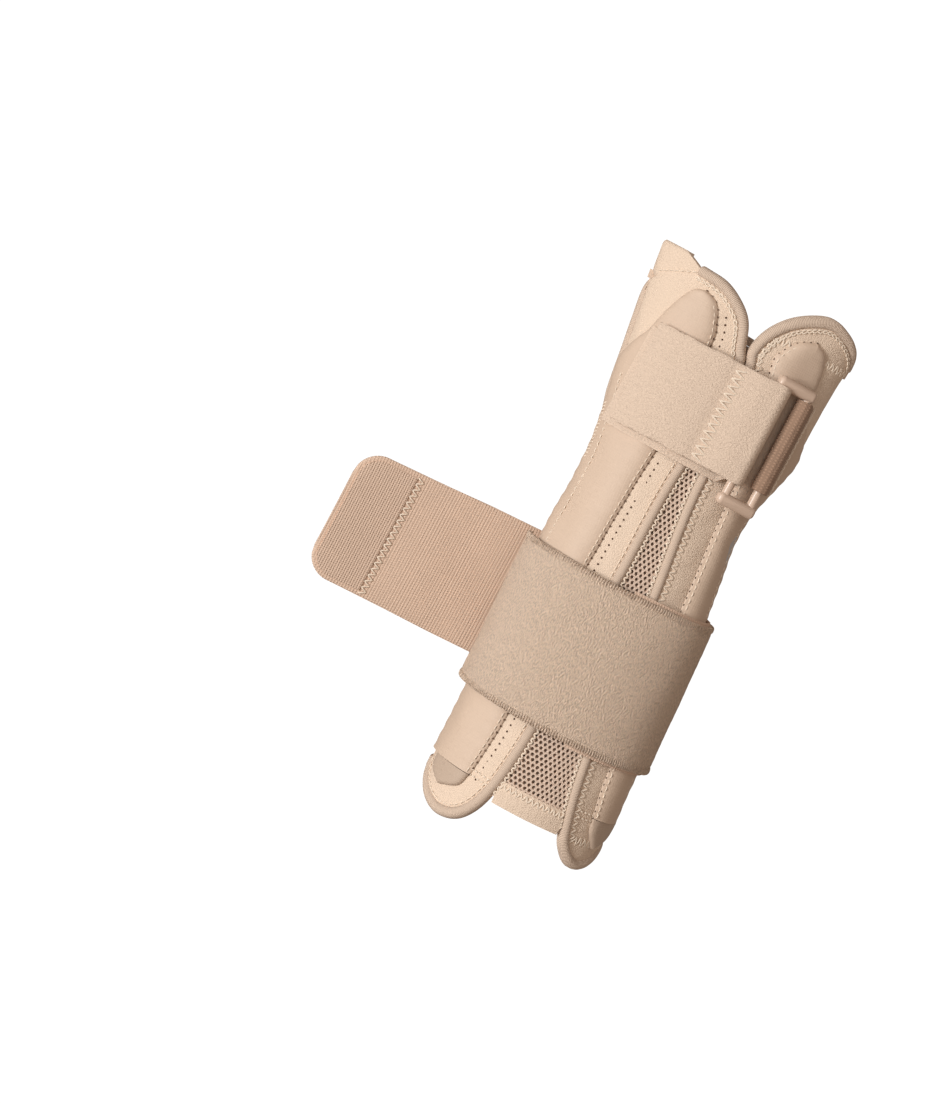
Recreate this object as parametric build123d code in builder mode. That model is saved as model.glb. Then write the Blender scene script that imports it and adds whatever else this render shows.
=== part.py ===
"""Right-hand wrist splint: a fabric sleeve with stays, a hand strap through a ring and a forearm strap.

Frame: +Y towards the fingers, +X towards the little finger, +Z out of the back of the hand.
The splint lies palm side down on Z = 0. The pieces are drawn with Y = 0 at the wrist crease and then
moved, so that the origin is under the middle of the forearm strap. Millimetres throughout.
"""
from build123d import *
from collections import namedtuple
from math import cos, radians, sin, tan
import os

os.makedirs("parts", exist_ok=True)

# Inner surface of the sleeve, as oval stations along the forearm and hand.
Station = namedtuple("Station", "y centre_x half_width base_z height")
STATIONS = (
    Station(-116, 2.4, 33.0, 8.7, 48),
    Station(-66, 0.3, 31.6, 8.7, 45),
    Station(-5, -2.5, 30.6, 8.7, 37),
    Station(34, -4.3, 28.6, 8.7, 33),
    Station(60, -3.3, 34.0, 8.7, 30),
    Station(86, -5.0, 36.5, 8.7, 28.5),
    Station(116, -6.2, 39.5, 8.7, 28),
)
FLAT_SHARE = 0.36      # flat part of the palm side, of the half width
WIDEST_SHARE = 0.45    # height of the widest line, of the height

# Layers, as distances outwards from the inner surface.
LINING = (0.0, 0.8)
SHELL = (0.95, 3.4)
MESH = (1.2, 2.2)
BINDING = (0.95, 4.6)
STAY = (3.65, 4.85)
POCKET = (3.55, 6.1)
UNDER_STRAP = (6.3, 7.1)
HAND_BASE = (6.3, 7.3)
FOREARM_BAND = (7.25, 8.8)
HEM = (0.95, 3.5)
GAP = 0.2              # clearance between neighbouring sewn pieces
TALL = 90              # longer than any section of the sleeve
BINDING_WIDTH = 3.4

# Length of the sleeve and its hems.
HEM_START, HEM_END = -91.2, -100.3
BINDING_STEP = 3.4     # how far a tape stands beyond the edge it binds

# Straps: stretch along Y, thickness and the free lengths between bends.
FOREARM_STRAP_Y = (-67.5, -7.5)
REST = Location((0, 37.5, 0))      # the strap's middle comes to Y = 0
UNDER_STRAP_Y = (-68.8, -6.4)
HAND_STRAP_Y = (42.5, 82.5)
STRAP = 1.8
BEND_GAP = 0.3
FREE_LENGTHS = (25, 23, 17, 27)
FREE_WIDTHS = (54.5, 54, 52.6, 51.8)
FREE_ROOT = (-21.7, 2.23)
FREE_RISE = 14
FREE_MIDDLE_Y = -34.2
TAB_CORNER = 10

# Ring and the webbing that passes through it.
RING_CENTRE = (19.4, 62.5, 45.5)
RING_TILT, RING_SLOPE = 24, 3.5
RING_WIDTH, RING_LENGTH, RING_HEIGHT = 17.4, 53, 4.2
BAR_OFFSET, BAR_RADIUS = 6.0, 1.7
RING_END = 3.4
LOOP_RADIUS, LOOP_THICKNESS = 3.1, 2.2
LOOP_END_X, LOOP_FALL = -14.8, 8
TAB_ARC_CENTRE, TAB_ARC_RADIUS = (-5, 58.4, -19), 66.5
HAND_HOOKS, HAND_TAB = (0.0, 0.6), (0.75, 2.0)
HAND_TAB_REACH, HAND_HOOKS_REACH = (88.1, 118.8), (92.6, 117.3)
ANCHOR_RADIUS, ANCHOR_THICKNESS, ANCHOR_WIDTH = 2.7, 1.4, 37.4

# Stay in the palm side pocket: width, middle and the heights of its faces.
PALM_STAY_X, PALM_STAY_WIDTH = -2, 20
PALM_STAY_Y = (-92, 72)
PALM_STAY_Z = (3.45, 5.05)
PALM_POCKET_Y = (-97, 84)
PALM_POCKET_WIDTH = 28


def sleeve_core(outwards):
    """Solid core of the sleeve, its inner surface grown outwards, straight between stations."""
    with BuildPart() as core:
        for station in STATIONS:
            base = station.base_z - outwards
            top = station.base_z + station.height + outwards
            widest = station.base_z + WIDEST_SHARE * station.height
            half = station.half_width + outwards
            flat = FLAT_SHARE * station.half_width
            centre = station.centre_x
            with BuildSketch(Plane(origin=(0, station.y, 0), x_dir=(1, 0, 0), z_dir=(0, -1, 0))):
                with BuildLine():
                    Line((centre - flat, base), (centre + flat, base))
                    corner = (half - flat, widest - base)
                    EllipticalCenterArc((centre + flat, widest), *corner, -90, arc_size=90)
                    EllipticalCenterArc((centre, widest), half, top - widest, 0, arc_size=180)
                    EllipticalCenterArc((centre - flat, widest), *corner, 180, arc_size=90)
                make_face()
        loft(ruled=True)
    return core.part


CORES = {}


def core(outwards):
    """The core at one distance, made once."""
    if outwards not in CORES:
        CORES[outwards] = sleeve_core(outwards)
    return CORES[outwards]


def outline(points, radius=0.0, grow=0.0):
    """Plan view outline of a piece: straight runs with rounded corners."""
    with BuildSketch() as plan:
        with BuildLine():
            Polyline(*points, close=True)
        make_face()
        if radius:
            fillet(plan.vertices(), radius)
        if grow:
            offset(amount=grow, kind=Kind.INTERSECTION)
    return plan.sketch


def side_prism(points):
    """Solid seen from the thumb side: points are (y, z), through the whole width."""
    with BuildPart() as prism:
        with BuildSketch(Plane.YZ):
            with BuildLine():
                Polyline(*points, close=True)
            make_face()
        extrude(amount=TALL, both=True)
    return prism.part


def column(plan):
    """Plan outline drawn up through the whole height."""
    with BuildPart() as tall:
        with BuildSketch(Plane.XY.offset(-TALL)):
            add(plan)
        extrude(amount=2 * TALL)
    return tall.part


def layer_piece(plan, layer, label, keep=(), cut=()):
    """A sewn piece: one layer of the sleeve inside a plan outline, trimmed by other solids."""
    tall, outer, inner = column(plan), core(layer[1]), core(layer[0])
    with BuildPart() as piece:
        add(tall)
        add(outer, mode=Mode.INTERSECT)
        for solid in keep:
            add(solid, mode=Mode.INTERSECT)
        add(inner, mode=Mode.SUBTRACT)
        for solid in cut:
            add(solid, mode=Mode.SUBTRACT)
    piece.part.label = label
    return piece.part


# Side seam between the back panels and the palm piece, as (y, z).
SEAM = ((-130, 31), (-5, 25.4), (60, 22), (130, 21))
above_seam = side_prism([(y, z + GAP / 2) for y, z in SEAM] + [(130, TALL), (-130, TALL)])
below_seam = side_prism([(y, z - GAP / 2) for y, z in SEAM] + [(130, -TALL), (-130, -TALL)])

# Thumb hole: a long slot through the thumb side corner of the palm piece.
THUMB_LENGTH, THUMB_HEIGHT, THUMB_TILT, THUMB_RIM = 56, 22, 25, 3.0
thumb_plane = Plane(
    origin=(-33, 71, 13.5),
    x_dir=(0, 1, 0),
    z_dir=(-cos(radians(THUMB_TILT)), 0, -sin(radians(THUMB_TILT))),
)


def thumb_slot(grow):
    """The thumb hole as a solid, grown all round."""
    with BuildPart() as slot:
        with BuildSketch(thumb_plane.offset(-10)):
            SlotOverall(THUMB_LENGTH + 2 * grow, THUMB_HEIGHT + 2 * grow)
        extrude(amount=40)
    return slot.part


thumb_hole = thumb_slot(0)
thumb_cut = thumb_slot(THUMB_RIM + GAP)

FAR = 62               # beyond the sides of the sleeve
MESH_RADIAL = ((-1.6, 82), (-3.4, 39), (-4.8, -10), (-7.5, -69), (-11.0, -97))
MESH_ULNAR = ((0.2, 82), (3.4, 39), (8.6, -10), (14.0, -69), (20.0, -97))

RADIAL_OUTLINE = (
    MESH_RADIAL
    + ((-17, -110), (-25, -114.5), (-34, -114), (-FAR, -100), (-FAR, 97))
    + ((-47.3, 103.6), (-33, 110), (-21, 108.5), (-9, 101), (-4, 90))
)
ULNAR_OUTLINE = (
    MESH_ULNAR
    + ((25, -106), (31, -110), (38, -108), (FAR, -96), (FAR, 104), (40, 106), (32, 112))
    + ((21, 115), (9, 109.5), (1, 101), (-2.2, 91))
)
RADIAL_POCKET = (
    (-16, 84), (-16.4, 37), (-18.8, -9), (-19.4, -69), (-21.5, -93), (-26, -104),
    (-FAR, -104), (-FAR, 84), (-39, 97), (-34, 102.5), (-24, 99.5),
)
ULNAR_POCKET = (
    (6.8, 88), (18.2, 36), (21.8, -9), (25.5, -69), (29, -93), (34, -101),
    (FAR, -101), (FAR, 60), (28, 84), (25, 98), (21, 105.5), (12, 100),
)
RADIAL_STAY_OUTLINE = ((-22, 92), (-22, 37), (-24, -9), (-24.6, -69), (-26.5, -91), (-34.5, -91),
                       (-33.4, -69), (-33.2, -9), (-31.5, 37), (-32, 92))
ULNAR_STAY_OUTLINE = ((11, 90), (21.3, 36), (24.5, -9), (28.6, -69), (32, -88), (37, -88),
                      (35, -69), (31, -9), (27, 36), (20.5, 90))
MESH_OUTLINE = MESH_RADIAL + MESH_ULNAR[::-1]
HEM_CORNERS = ((-10.8, -97), (-12.2, -100.3), (22.4, -100.3), (19.8, -97))
DISTAL_LIMIT = 120
PALM_OUTLINE = ((-FAR, HEM_END), (FAR, HEM_END), (FAR, 100), (38, 99), (10, 91), (-6, 92),
                (-14, 101), (-22, 112), (-22, 70), (-FAR, 70))
PALM_UPPER_HEM = ((FAR, 100.2), (38, 99.2), (10, 91.2), (-6, 92.2), (-13.8, 101.2), (-21.8, 112.2),
                  (-21.8, 117), (-15.5, 108), (-7, 96), (10, 94.8), (37, 102.7), (FAR, 103.6))


def panel_and_binding(points, side):
    """A back panel with the rounded tape that binds its edge."""
    whole = outline(points, radius=1.5)
    field = outline(points, radius=1.5, grow=-BINDING_WIDTH)
    inner = outline(points, radius=1.5, grow=-BINDING_WIDTH + GAP)
    panel = layer_piece(field, SHELL, f"{side}_panel", keep=[above_seam], cut=[thumb_cut])
    binding = layer_piece(
        whole, BINDING, f"{side}_binding", keep=[above_seam], cut=[thumb_cut, column(inner)]
    )
    return panel, binding


# The pocket covers stop short of the side seams.
above_tongue = side_prism([(-130, 33), (130, 23), (130, TALL), (-130, TALL)])
POCKET_CORNER, STAY_ROOM = 0.8, 0.3


def stay_pocket(pocket_points, stay_points, side):
    """A stay pocket cover with its hollow, and the stay in it."""
    stay_plan = outline(stay_points, POCKET_CORNER)
    room_plan = outline(stay_points, POCKET_CORNER, STAY_ROOM)
    room = layer_piece(room_plan, (POCKET[0] - 1, STAY[1] + GAP), "room")
    cover = layer_piece(
        outline(pocket_points, POCKET_CORNER), POCKET, f"{side}_stay_pocket",
        keep=[above_seam, above_tongue], cut=[thumb_cut, room],
    )
    stay = layer_piece(stay_plan, STAY, f"{side}_stay", keep=[above_seam])
    return cover, stay


def rectangle(x_range, y_range):
    """Corners of a rectangle in plan."""
    (x0, x1), (y0, y1) = x_range, y_range
    return ((x0, y0), (x1, y0), (x1, y1), (x0, y1))


def mesh_and_hem():
    """Stretch mesh between the back panels and the hem across its forearm end."""
    above_hem = column(outline(rectangle((-FAR, FAR), (HEM_START + GAP, DISTAL_LIMIT))))
    below_hem = column(outline(rectangle((-FAR, FAR), (HEM_END, HEM_START))))
    plan = outline(MESH_OUTLINE, grow=-GAP)
    hem_plan = outline(MESH_RADIAL[:-1] + HEM_CORNERS + MESH_ULNAR[-2::-1], grow=-GAP)
    mesh = layer_piece(plan, MESH, "mesh_panel", keep=[above_seam, above_hem])
    hem = layer_piece(hem_plan, HEM, "mesh_hem", keep=[above_seam, below_hem])
    return mesh, hem


def linings():
    """Smooth lining behind each back panel and behind the palm piece."""
    radial = layer_piece(outline(RADIAL_OUTLINE, grow=-1), LINING, "radial_lining", [above_seam])
    ulnar = layer_piece(outline(ULNAR_OUTLINE, grow=-1), LINING, "ulnar_lining", [above_seam])
    palm = layer_piece(outline(PALM_OUTLINE, grow=-1), LINING, "palm_lining", [below_seam], [thumb_cut])
    return radial, ulnar, palm


def palm_side():
    """Palm piece, its two bound ends, and the strip that goes through the thumb web."""
    shell = layer_piece(
        outline(PALM_OUTLINE), SHELL, "palm_shell", keep=[below_seam], cut=[thumb_cut]
    )
    lower_hem = layer_piece(
        outline(rectangle((-FAR, FAR), (HEM_END - BINDING_STEP, HEM_END - GAP))),
        HEM, "palm_lower_hem", keep=[below_seam],
    )
    upper_hem = layer_piece(outline(PALM_UPPER_HEM), HEM, "palm_upper_hem", keep=[below_seam])
    lobe = layer_piece(outline(RADIAL_OUTLINE, grow=GAP), (0, 8), "lobe", keep=[above_seam])
    beyond = column(outline(rectangle((-33, 0), (98, DISTAL_LIMIT))))
    with BuildPart() as above_web:
        add(beyond)
        add(above_seam, mode=Mode.INTERSECT)
    strip = layer_piece(
        outline(rectangle((-FAR, -22.2), (98.5, 113))), SHELL, "thumb_web_strip",
        cut=[thumb_cut, lobe, above_web.part],
    )
    rim = layer_piece(
        outline(rectangle((-FAR, 0), (20, DISTAL_LIMIT))), BINDING, "thumb_hole_binding",
        keep=[thumb_slot(THUMB_RIM)], cut=[thumb_hole],
    )
    return shell, lower_hem, upper_hem, strip, rim


def palm_pocket_and_stay():
    """Flat pocket along the palm side, open at the forearm end, and the stay that slides out of it."""
    (y0, y1), (z0, z1) = PALM_POCKET_Y, PALM_STAY_Z
    outer, inner = core(POCKET[1]), core(POCKET[0])
    with BuildPart() as pocket:
        with Locations((PALM_STAY_X, (y0 + y1) / 2, 0)):
            Box(
                PALM_POCKET_WIDTH, y1 - y0, STATIONS[0].base_z,
                align=(Align.CENTER, Align.CENTER, Align.MIN),
            )
        add(outer, mode=Mode.INTERSECT)
        add(inner, mode=Mode.SUBTRACT)
        with Locations((PALM_STAY_X, y0, z0 - GAP)):
            Box(
                PALM_STAY_WIDTH + 0.8, PALM_STAY_Y[1] + 1 - y0, z1 - z0 + 2 * GAP,
                align=(Align.CENTER, Align.MIN, Align.MIN), mode=Mode.SUBTRACT,
            )
    pocket.part.label = "palm_stay_pocket"
    with BuildPart() as stay:
        with BuildSketch(Plane.XY.offset(z0)):
            with Locations((PALM_STAY_X, sum(PALM_STAY_Y) / 2)):
                SlotOverall(PALM_STAY_Y[1] - PALM_STAY_Y[0], PALM_STAY_WIDTH, rotation=90)
        extrude(amount=z1 - z0)
    stay.part.label = "palm_stay"
    return pocket.part, stay.part


def ring_frame():
    """Direction of the ring's bars, and up across them."""
    slope = radians(RING_SLOPE)
    return Vector(0, cos(slope), -sin(slope)), Vector(0, sin(slope), cos(slope))


along_bar, up_bar = ring_frame()
ring_x = Vector(cos(radians(RING_TILT)), 0, 0) - up_bar * sin(radians(RING_TILT))
ring_up = Vector(sin(radians(RING_TILT)), 0, 0) + up_bar * cos(radians(RING_TILT))
ring_plane = Plane(origin=RING_CENTRE, x_dir=ring_x, z_dir=ring_up)
inner_bar = Vector(*RING_CENTRE) - ring_x * BAR_OFFSET
outer_bar = Vector(*RING_CENTRE) + ring_x * BAR_OFFSET
print("inner bar", inner_bar, "outer bar", outer_bar, "along", along_bar)


def ring_buckle():
    """Moulded rectangular ring: two round bars between two flat, rounded ends."""
    half = RING_LENGTH / 2
    with BuildPart() as ring:
        for side in (-1, 1):
            with BuildSketch(ring_plane.offset(-RING_HEIGHT / 2)):
                with Locations((0, side * (half - RING_END / 2))):
                    SlotOverall(RING_WIDTH, RING_END)
            extrude(amount=RING_HEIGHT)
        for bar in (inner_bar, outer_bar):
            with BuildSketch(Plane(origin=bar, x_dir=ring_x, z_dir=along_bar)):
                Circle(BAR_RADIUS)
            extrude(amount=half - RING_END / 2, both=True)
    ring.part.label = "ring_buckle"
    return ring.part


def webbing_round(bar, radius, thickness, start, sweep_angle, tails, width, label):
    """Webbing round one bar of the ring, with straight tails off the ends of its bend."""
    with BuildPart() as webbing:
        with BuildSketch(Plane(origin=bar, x_dir=(1, 0, 0), z_dir=-along_bar)):
            with BuildLine():
                bend = CenterArc((0, 0), radius, start, sweep_angle)
                for place, tail in tails:
                    Line(bend @ place, tail)
            trace(line_width=thickness)
        extrude(amount=width / 2, both=True)
    webbing.part.label = label
    return webbing.part


def arched_webbing(reach, layer, label, width):
    """Length of webbing bent to one arc over the back of the hand."""
    start, end = reach
    middle = (layer[0] + layer[1]) / 2
    with BuildPart() as webbing:
        with BuildSketch(Plane(origin=TAB_ARC_CENTRE, x_dir=(1, 0, 0), z_dir=-along_bar)):
            with BuildLine():
                CenterArc((0, 0), TAB_ARC_RADIUS + middle, start, end - start)
            trace(line_width=layer[1] - layer[0])
        extrude(amount=width / 2, both=True)
    webbing.part.label = label
    return webbing.part


def hand_strap():
    """Strap over the back of the hand: a sewn base, the brushed loop through the ring, the hook tab."""
    y0, y1 = HAND_STRAP_Y
    base = layer_piece(
        outline(rectangle((-36.5, 8), (y0, y1))), HAND_BASE, "hand_strap_base", keep=[above_seam]
    )
    tab = arched_webbing(HAND_TAB_REACH, HAND_TAB, "hand_strap_tab", y1 - y0)
    hooks = arched_webbing(HAND_HOOKS_REACH, HAND_HOOKS, "hand_tab_hooks", y1 - y0 - 4)
    top = 90 + LOOP_FALL
    fall = Vector(LOOP_END_X, LOOP_RADIUS + (LOOP_END_X + 0.4) * tan(radians(LOOP_FALL)))
    loop = webbing_round(
        inner_bar, LOOP_RADIUS, LOOP_THICKNESS, -100, 100 + top, [(1, fall)],
        y1 - y0, "hand_strap_loop",
    )
    anchor = webbing_round(
        outer_bar, ANCHOR_RADIUS, ANCHOR_THICKNESS, 35, 207, [(0, (6.3, -4.3)), (1, (6.3, -5.9))],
        ANCHOR_WIDTH, "ring_anchor",
    )
    return base, tab, hooks, loop, anchor


def forearm_band():
    """Fixed run of the forearm strap, from the thumb side over the back and round to the palm."""
    with BuildPart() as open_side:
        with BuildSketch(Plane.XZ):
            with BuildLine():
                Polyline((-14, 20), (-FAR, 20), (-FAR, -10), (-20.8, -10), (-20.8, 8), close=True)
            make_face()
        extrude(amount=TALL, both=True)
    with BuildPart() as under_floor:
        with Locations((0, 0, -TALL / 2)):
            Box(2 * TALL, 4 * TALL, TALL)
    cut = [open_side.part, under_floor.part]
    band = layer_piece(
        outline(rectangle((-FAR, FAR), FOREARM_STRAP_Y)), FOREARM_BAND, "forearm_band", cut=cut
    )
    under = layer_piece(
        outline(rectangle((5, FAR), UNDER_STRAP_Y)), UNDER_STRAP, "forearm_under_strap", cut=cut
    )
    return band, under


def free_strap():
    """Free end of the forearm strap, pulled out to the thumb side, as flat lengths between bends."""
    names = ("root", "middle", "end", "tab")
    rise = radians(FREE_RISE)
    outward = Vector(-cos(rise), 0, sin(rise))
    inner_face = Vector(sin(rise), 0, cos(rise))
    at = Vector(FREE_ROOT[0], FREE_MIDDLE_Y, FREE_ROOT[1])
    lengths = []
    for name, length, width in zip(names, FREE_LENGTHS, FREE_WIDTHS):
        print("bend of the free strap before", name, at)
        middle = at + outward * (length / 2)
        with BuildPart() as strap:
            with BuildSketch(Plane(origin=middle, x_dir=outward, z_dir=(0, 1, 0))):
                SlotOverall(length - BEND_GAP, STRAP)
            extrude(amount=width / 2, both=True)
            if name == "tab":
                with BuildSketch(Plane(origin=middle, x_dir=outward, z_dir=inner_face)):
                    RectangleRounded(length - BEND_GAP, width, TAB_CORNER)
                    with Locations((-length / 4, 0)):
                        Rectangle(length / 2 - BEND_GAP, width)
                extrude(amount=STRAP, both=True, mode=Mode.INTERSECT)
        strap.part.label = f"forearm_strap_{name}"
        lengths.append(strap.part)
        at = at + outward * length
    hook_middle = middle + inner_face * (STRAP / 2 + 0.05)
    with BuildPart() as hooks:
        with BuildSketch(Plane(origin=hook_middle, x_dir=outward, z_dir=inner_face)):
            RectangleRounded(FREE_LENGTHS[-1] - 7, FREE_WIDTHS[-1] - 4, TAB_CORNER - 3)
        extrude(amount=0.6)
    hooks.part.label = "forearm_tab_hooks"
    return [*lengths, hooks.part]


pieces = [
    *panel_and_binding(RADIAL_OUTLINE, "radial"),
    *panel_and_binding(ULNAR_OUTLINE, "ulnar"),
    *stay_pocket(RADIAL_POCKET, RADIAL_STAY_OUTLINE, "radial"),
    *stay_pocket(ULNAR_POCKET, ULNAR_STAY_OUTLINE, "ulnar"),
    *mesh_and_hem(),
    *linings(),
    *palm_side(),
    *palm_pocket_and_stay(),
    ring_buckle(),
    *hand_strap(),
    *forearm_band(),
    *free_strap(),
]
for piece in pieces:
    resting = piece.moved(REST)
    resting.label = piece.label
    export_step(resting, f"parts/{piece.label}.step")
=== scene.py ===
"""Looks for the wrist splint: sewn cloth, stitching, straps, ring and stays around the fixed frame."""
import math

import bmesh
import bpy
import numpy as np
from bpy.props import FloatProperty, FloatVectorProperty, PointerProperty
from mathutils import Matrix, Vector


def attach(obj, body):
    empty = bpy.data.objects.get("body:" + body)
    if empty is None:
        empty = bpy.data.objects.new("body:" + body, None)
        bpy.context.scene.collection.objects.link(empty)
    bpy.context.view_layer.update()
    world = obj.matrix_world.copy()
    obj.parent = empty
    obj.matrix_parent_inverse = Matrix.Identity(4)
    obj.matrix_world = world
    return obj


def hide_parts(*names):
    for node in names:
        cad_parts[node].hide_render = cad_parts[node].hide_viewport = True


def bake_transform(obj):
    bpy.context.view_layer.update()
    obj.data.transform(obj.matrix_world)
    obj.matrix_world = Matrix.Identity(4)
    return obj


bl_info = {
    "name": "Wrist Splint",
    "version": (1, 0, 0),
    "blender": (4, 5, 0),
    "location": "View3D > Sidebar > Splint",
    "description": "Builds the cloth, stitching, straps and ring of a wrist splint around its frame",
    "category": "Add Mesh",
}

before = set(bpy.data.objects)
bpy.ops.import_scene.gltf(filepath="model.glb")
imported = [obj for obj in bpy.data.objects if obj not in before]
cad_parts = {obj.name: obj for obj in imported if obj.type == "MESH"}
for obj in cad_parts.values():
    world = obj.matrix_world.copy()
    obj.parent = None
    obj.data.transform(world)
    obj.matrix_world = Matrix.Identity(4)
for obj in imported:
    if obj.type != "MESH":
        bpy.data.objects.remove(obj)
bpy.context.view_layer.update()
MM = 0.001

# Sleeve sections: place along the arm, middle, half width, base height, height (mm).
STATION_Y = np.array([-116, -66, -5, 34, 60, 86, 116.0])
STATION_SHAPE = np.array([
    [2.4, 33.0, 8.7, 48],
    [0.3, 31.6, 8.7, 45],
    [-2.5, 30.6, 8.7, 37],
    [-4.3, 28.6, 8.7, 33],
    [-3.3, 34.0, 8.7, 30],
    [-5.0, 36.5, 8.7, 28.5],
    [-6.2, 39.5, 8.7, 28],
])
FLAT_SHARE, WIDEST_SHARE = 0.36, 0.45
FLAT_TURN = 30.0       # how much of the turn round a section its flat base takes
FLAT_JUMP = 390.0      # from the turn at the flat base's start to the one at its end
LAYOUT_OFF = 5.0       # layer whose girth the cloth layout is measured on
GIRTH_STEP, GIRTH_REACH = 0.5, 125.0
REACH_Y = 126
SHARP = math.radians(55)
REST_Y = 37.5          # the layout's Y 0 is the wrist crease, this far from the frame's origin


# ---------------------------------------------------------------- sizes and colours

class SplintSizes(bpy.types.PropertyGroup):
    """Sizes of the sewing that a user may change."""

    stitch_pitch: FloatProperty(
        name="Stitch pitch", description="Distance from stitch to stitch", default=2.7 * MM,
        unit="LENGTH")
    thread: FloatProperty(
        name="Thread", description="Thread radius", default=0.26 * MM, unit="LENGTH")
    piping_width: FloatProperty(
        name="Piping width", description="Width of the bound edges", default=4.6 * MM, unit="LENGTH")
    piping_height: FloatProperty(
        name="Piping height", description="How far the bound edges stand up", default=3.2 * MM,
        unit="LENGTH")
    mesh_pitch: FloatProperty(
        name="Mesh pitch", description="Distance between holes in the mesh", default=2.05 * MM,
        unit="LENGTH")
    pocket_swell: FloatProperty(
        name="Pocket swell", description="How far a stay lifts its pocket", default=2.2 * MM,
        unit="LENGTH")


def colour(name, rgb):
    """A colour that a user may change."""
    return FloatVectorProperty(
        name=name, description=f"{name} colour", default=rgb, subtype="COLOR", size=3, min=0, max=1)


class SplintColours(bpy.types.PropertyGroup):
    """Colours of the cloths and the ring."""

    suede: colour("Suede", (0.86, 0.69, 0.54))
    cover: colour("Pocket cover", (0.67, 0.52, 0.40))
    tape: colour("Binding tape", (0.74, 0.585, 0.46))
    mesh_cloth: colour("Mesh", (0.84, 0.66, 0.53))
    lining: colour("Lining", (0.50, 0.38, 0.30))
    band: colour("Loop pile", (0.96, 0.745, 0.57))
    band_back: colour("Strap back", (0.86, 0.635, 0.485))
    webbing: colour("Hand strap", (0.82, 0.65, 0.51))
    elastic: colour("Ring elastic", (0.45, 0.29, 0.20))
    thread: colour("Thread", (0.88, 0.75, 0.61))
    # painted shade inside the needle holes
    hole: colour("Needle holes", (0.10, 0.055, 0.035))
    ring: colour("Ring", (0.66, 0.50, 0.39))
    metal: colour("Stay metal", (0.62, 0.62, 0.63))


def sizes():
    """The scene's sewing sizes."""
    return bpy.context.scene.splint_sizes


def colours():
    """The scene's colours."""
    return bpy.context.scene.splint_colours


# ---------------------------------------------------------------- the sleeve as a surface

def smooth_shape(y):
    """Section shape at each y, by a smooth curve through the stations."""
    slope = np.gradient(STATION_SHAPE, STATION_Y, axis=0)
    i = np.clip(np.searchsorted(STATION_Y, y) - 1, 0, len(STATION_Y) - 2)
    run = STATION_Y[i + 1] - STATION_Y[i]
    t = ((y - STATION_Y[i]) / run)[..., None]
    run = run[..., None]
    return (
        (2 * t**3 - 3 * t**2 + 1) * STATION_SHAPE[i] + (t**3 - 2 * t**2 + t) * run * slope[i]
        + (-2 * t**3 + 3 * t**2) * STATION_SHAPE[i + 1] + (t**3 - t**2) * run * slope[i + 1]
    )


def section_point(turn, y, off):
    """Point (mm) on the layer off outside the sleeve's inner surface; turn is in degrees round it."""
    turn, y, off = np.broadcast_arrays(np.asarray(turn, float), np.asarray(y, float), off)
    middle, half, base, height = np.moveaxis(smooth_shape(np.clip(y, -116, 116)), -1, 0)
    flat = FLAT_SHARE * half
    widest = base + WIDEST_SHARE * height
    angle = np.radians(turn)
    upper = (turn >= 0) & (turn <= 180)
    side = np.where(turn < 90, 1.0, -1.0)
    x = np.where(
        upper, middle + (half + off) * np.cos(angle),
        middle + side * flat + (half + off - flat) * np.cos(angle))
    z = np.where(
        upper, widest + (base + height + off - widest) * np.sin(angle),
        widest + (widest - base + off) * np.sin(angle))
    past = np.where(turn > 270, turn - 270, np.where(turn < -90, -90 - turn, 0)) / FLAT_TURN
    on_flat = past > 0
    x = np.where(on_flat, middle + side * flat * (1 - 2 * past), x)
    z = np.where(on_flat, base - off, z)
    return np.stack([x, y, z], -1)


def lengths_along(path):
    """Distance from a path's start to each of its points."""
    return np.concatenate([[0], np.cumsum(np.linalg.norm(np.diff(path, axis=0), axis=1))])


def girth_tables():
    """For each y, the turn at each distance round the section from its top, ulnar side positive."""
    ys = np.arange(-REACH_Y, REACH_Y + 1.0)
    turns = np.linspace(-90 - FLAT_TURN, 270 + FLAT_TURN, 841)
    girths = np.arange(-GIRTH_REACH, GIRTH_REACH + GIRTH_STEP, GIRTH_STEP)
    table = np.empty((len(ys), len(girths)))
    for row, y in enumerate(ys):
        points = section_point(turns, y, LAYOUT_OFF)
        run = lengths_along(points)
        run -= np.interp(90, turns, run)
        table[row] = np.interp(girths, -run[::-1], turns[::-1])
    return table


TURN_TABLE = girth_tables()


def turn_at(s, y):
    """Turn round the section for girth distance s (mm) at y."""
    row = np.clip(np.asarray(y, float) + REACH_Y, 0, 2 * REACH_Y - 0.001)
    column = np.clip((np.asarray(s, float) + GIRTH_REACH) / GIRTH_STEP, 0, TURN_TABLE.shape[1] - 1.001)
    i, j = row.astype(int), column.astype(int)
    a, b = row - i, column - j
    return (
        (1 - a) * ((1 - b) * TURN_TABLE[i, j] + b * TURN_TABLE[i, j + 1])
        + a * ((1 - b) * TURN_TABLE[i + 1, j] + b * TURN_TABLE[i + 1, j + 1])
    )


def place(s, y, off):
    """Point (mm) for girth distance s and length y, off outside the sleeve's inner surface."""
    s, y = np.broadcast_arrays(np.asarray(s, float), np.asarray(y, float))
    return section_point(turn_at(s, y), y, off)


def normal_at(s, y, off=LAYOUT_OFF):
    """Unit direction out of the sleeve at a layout point."""
    across = place(s + 0.5, y, off) - place(np.asarray(s) - 0.5, y, off)
    along = place(s, np.asarray(y) + 0.5, off) - place(s, np.asarray(y) - 0.5, off)
    out = np.cross(across, along)
    return out / np.maximum(np.linalg.norm(out, axis=-1, keepdims=True), 1e-9)


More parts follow.
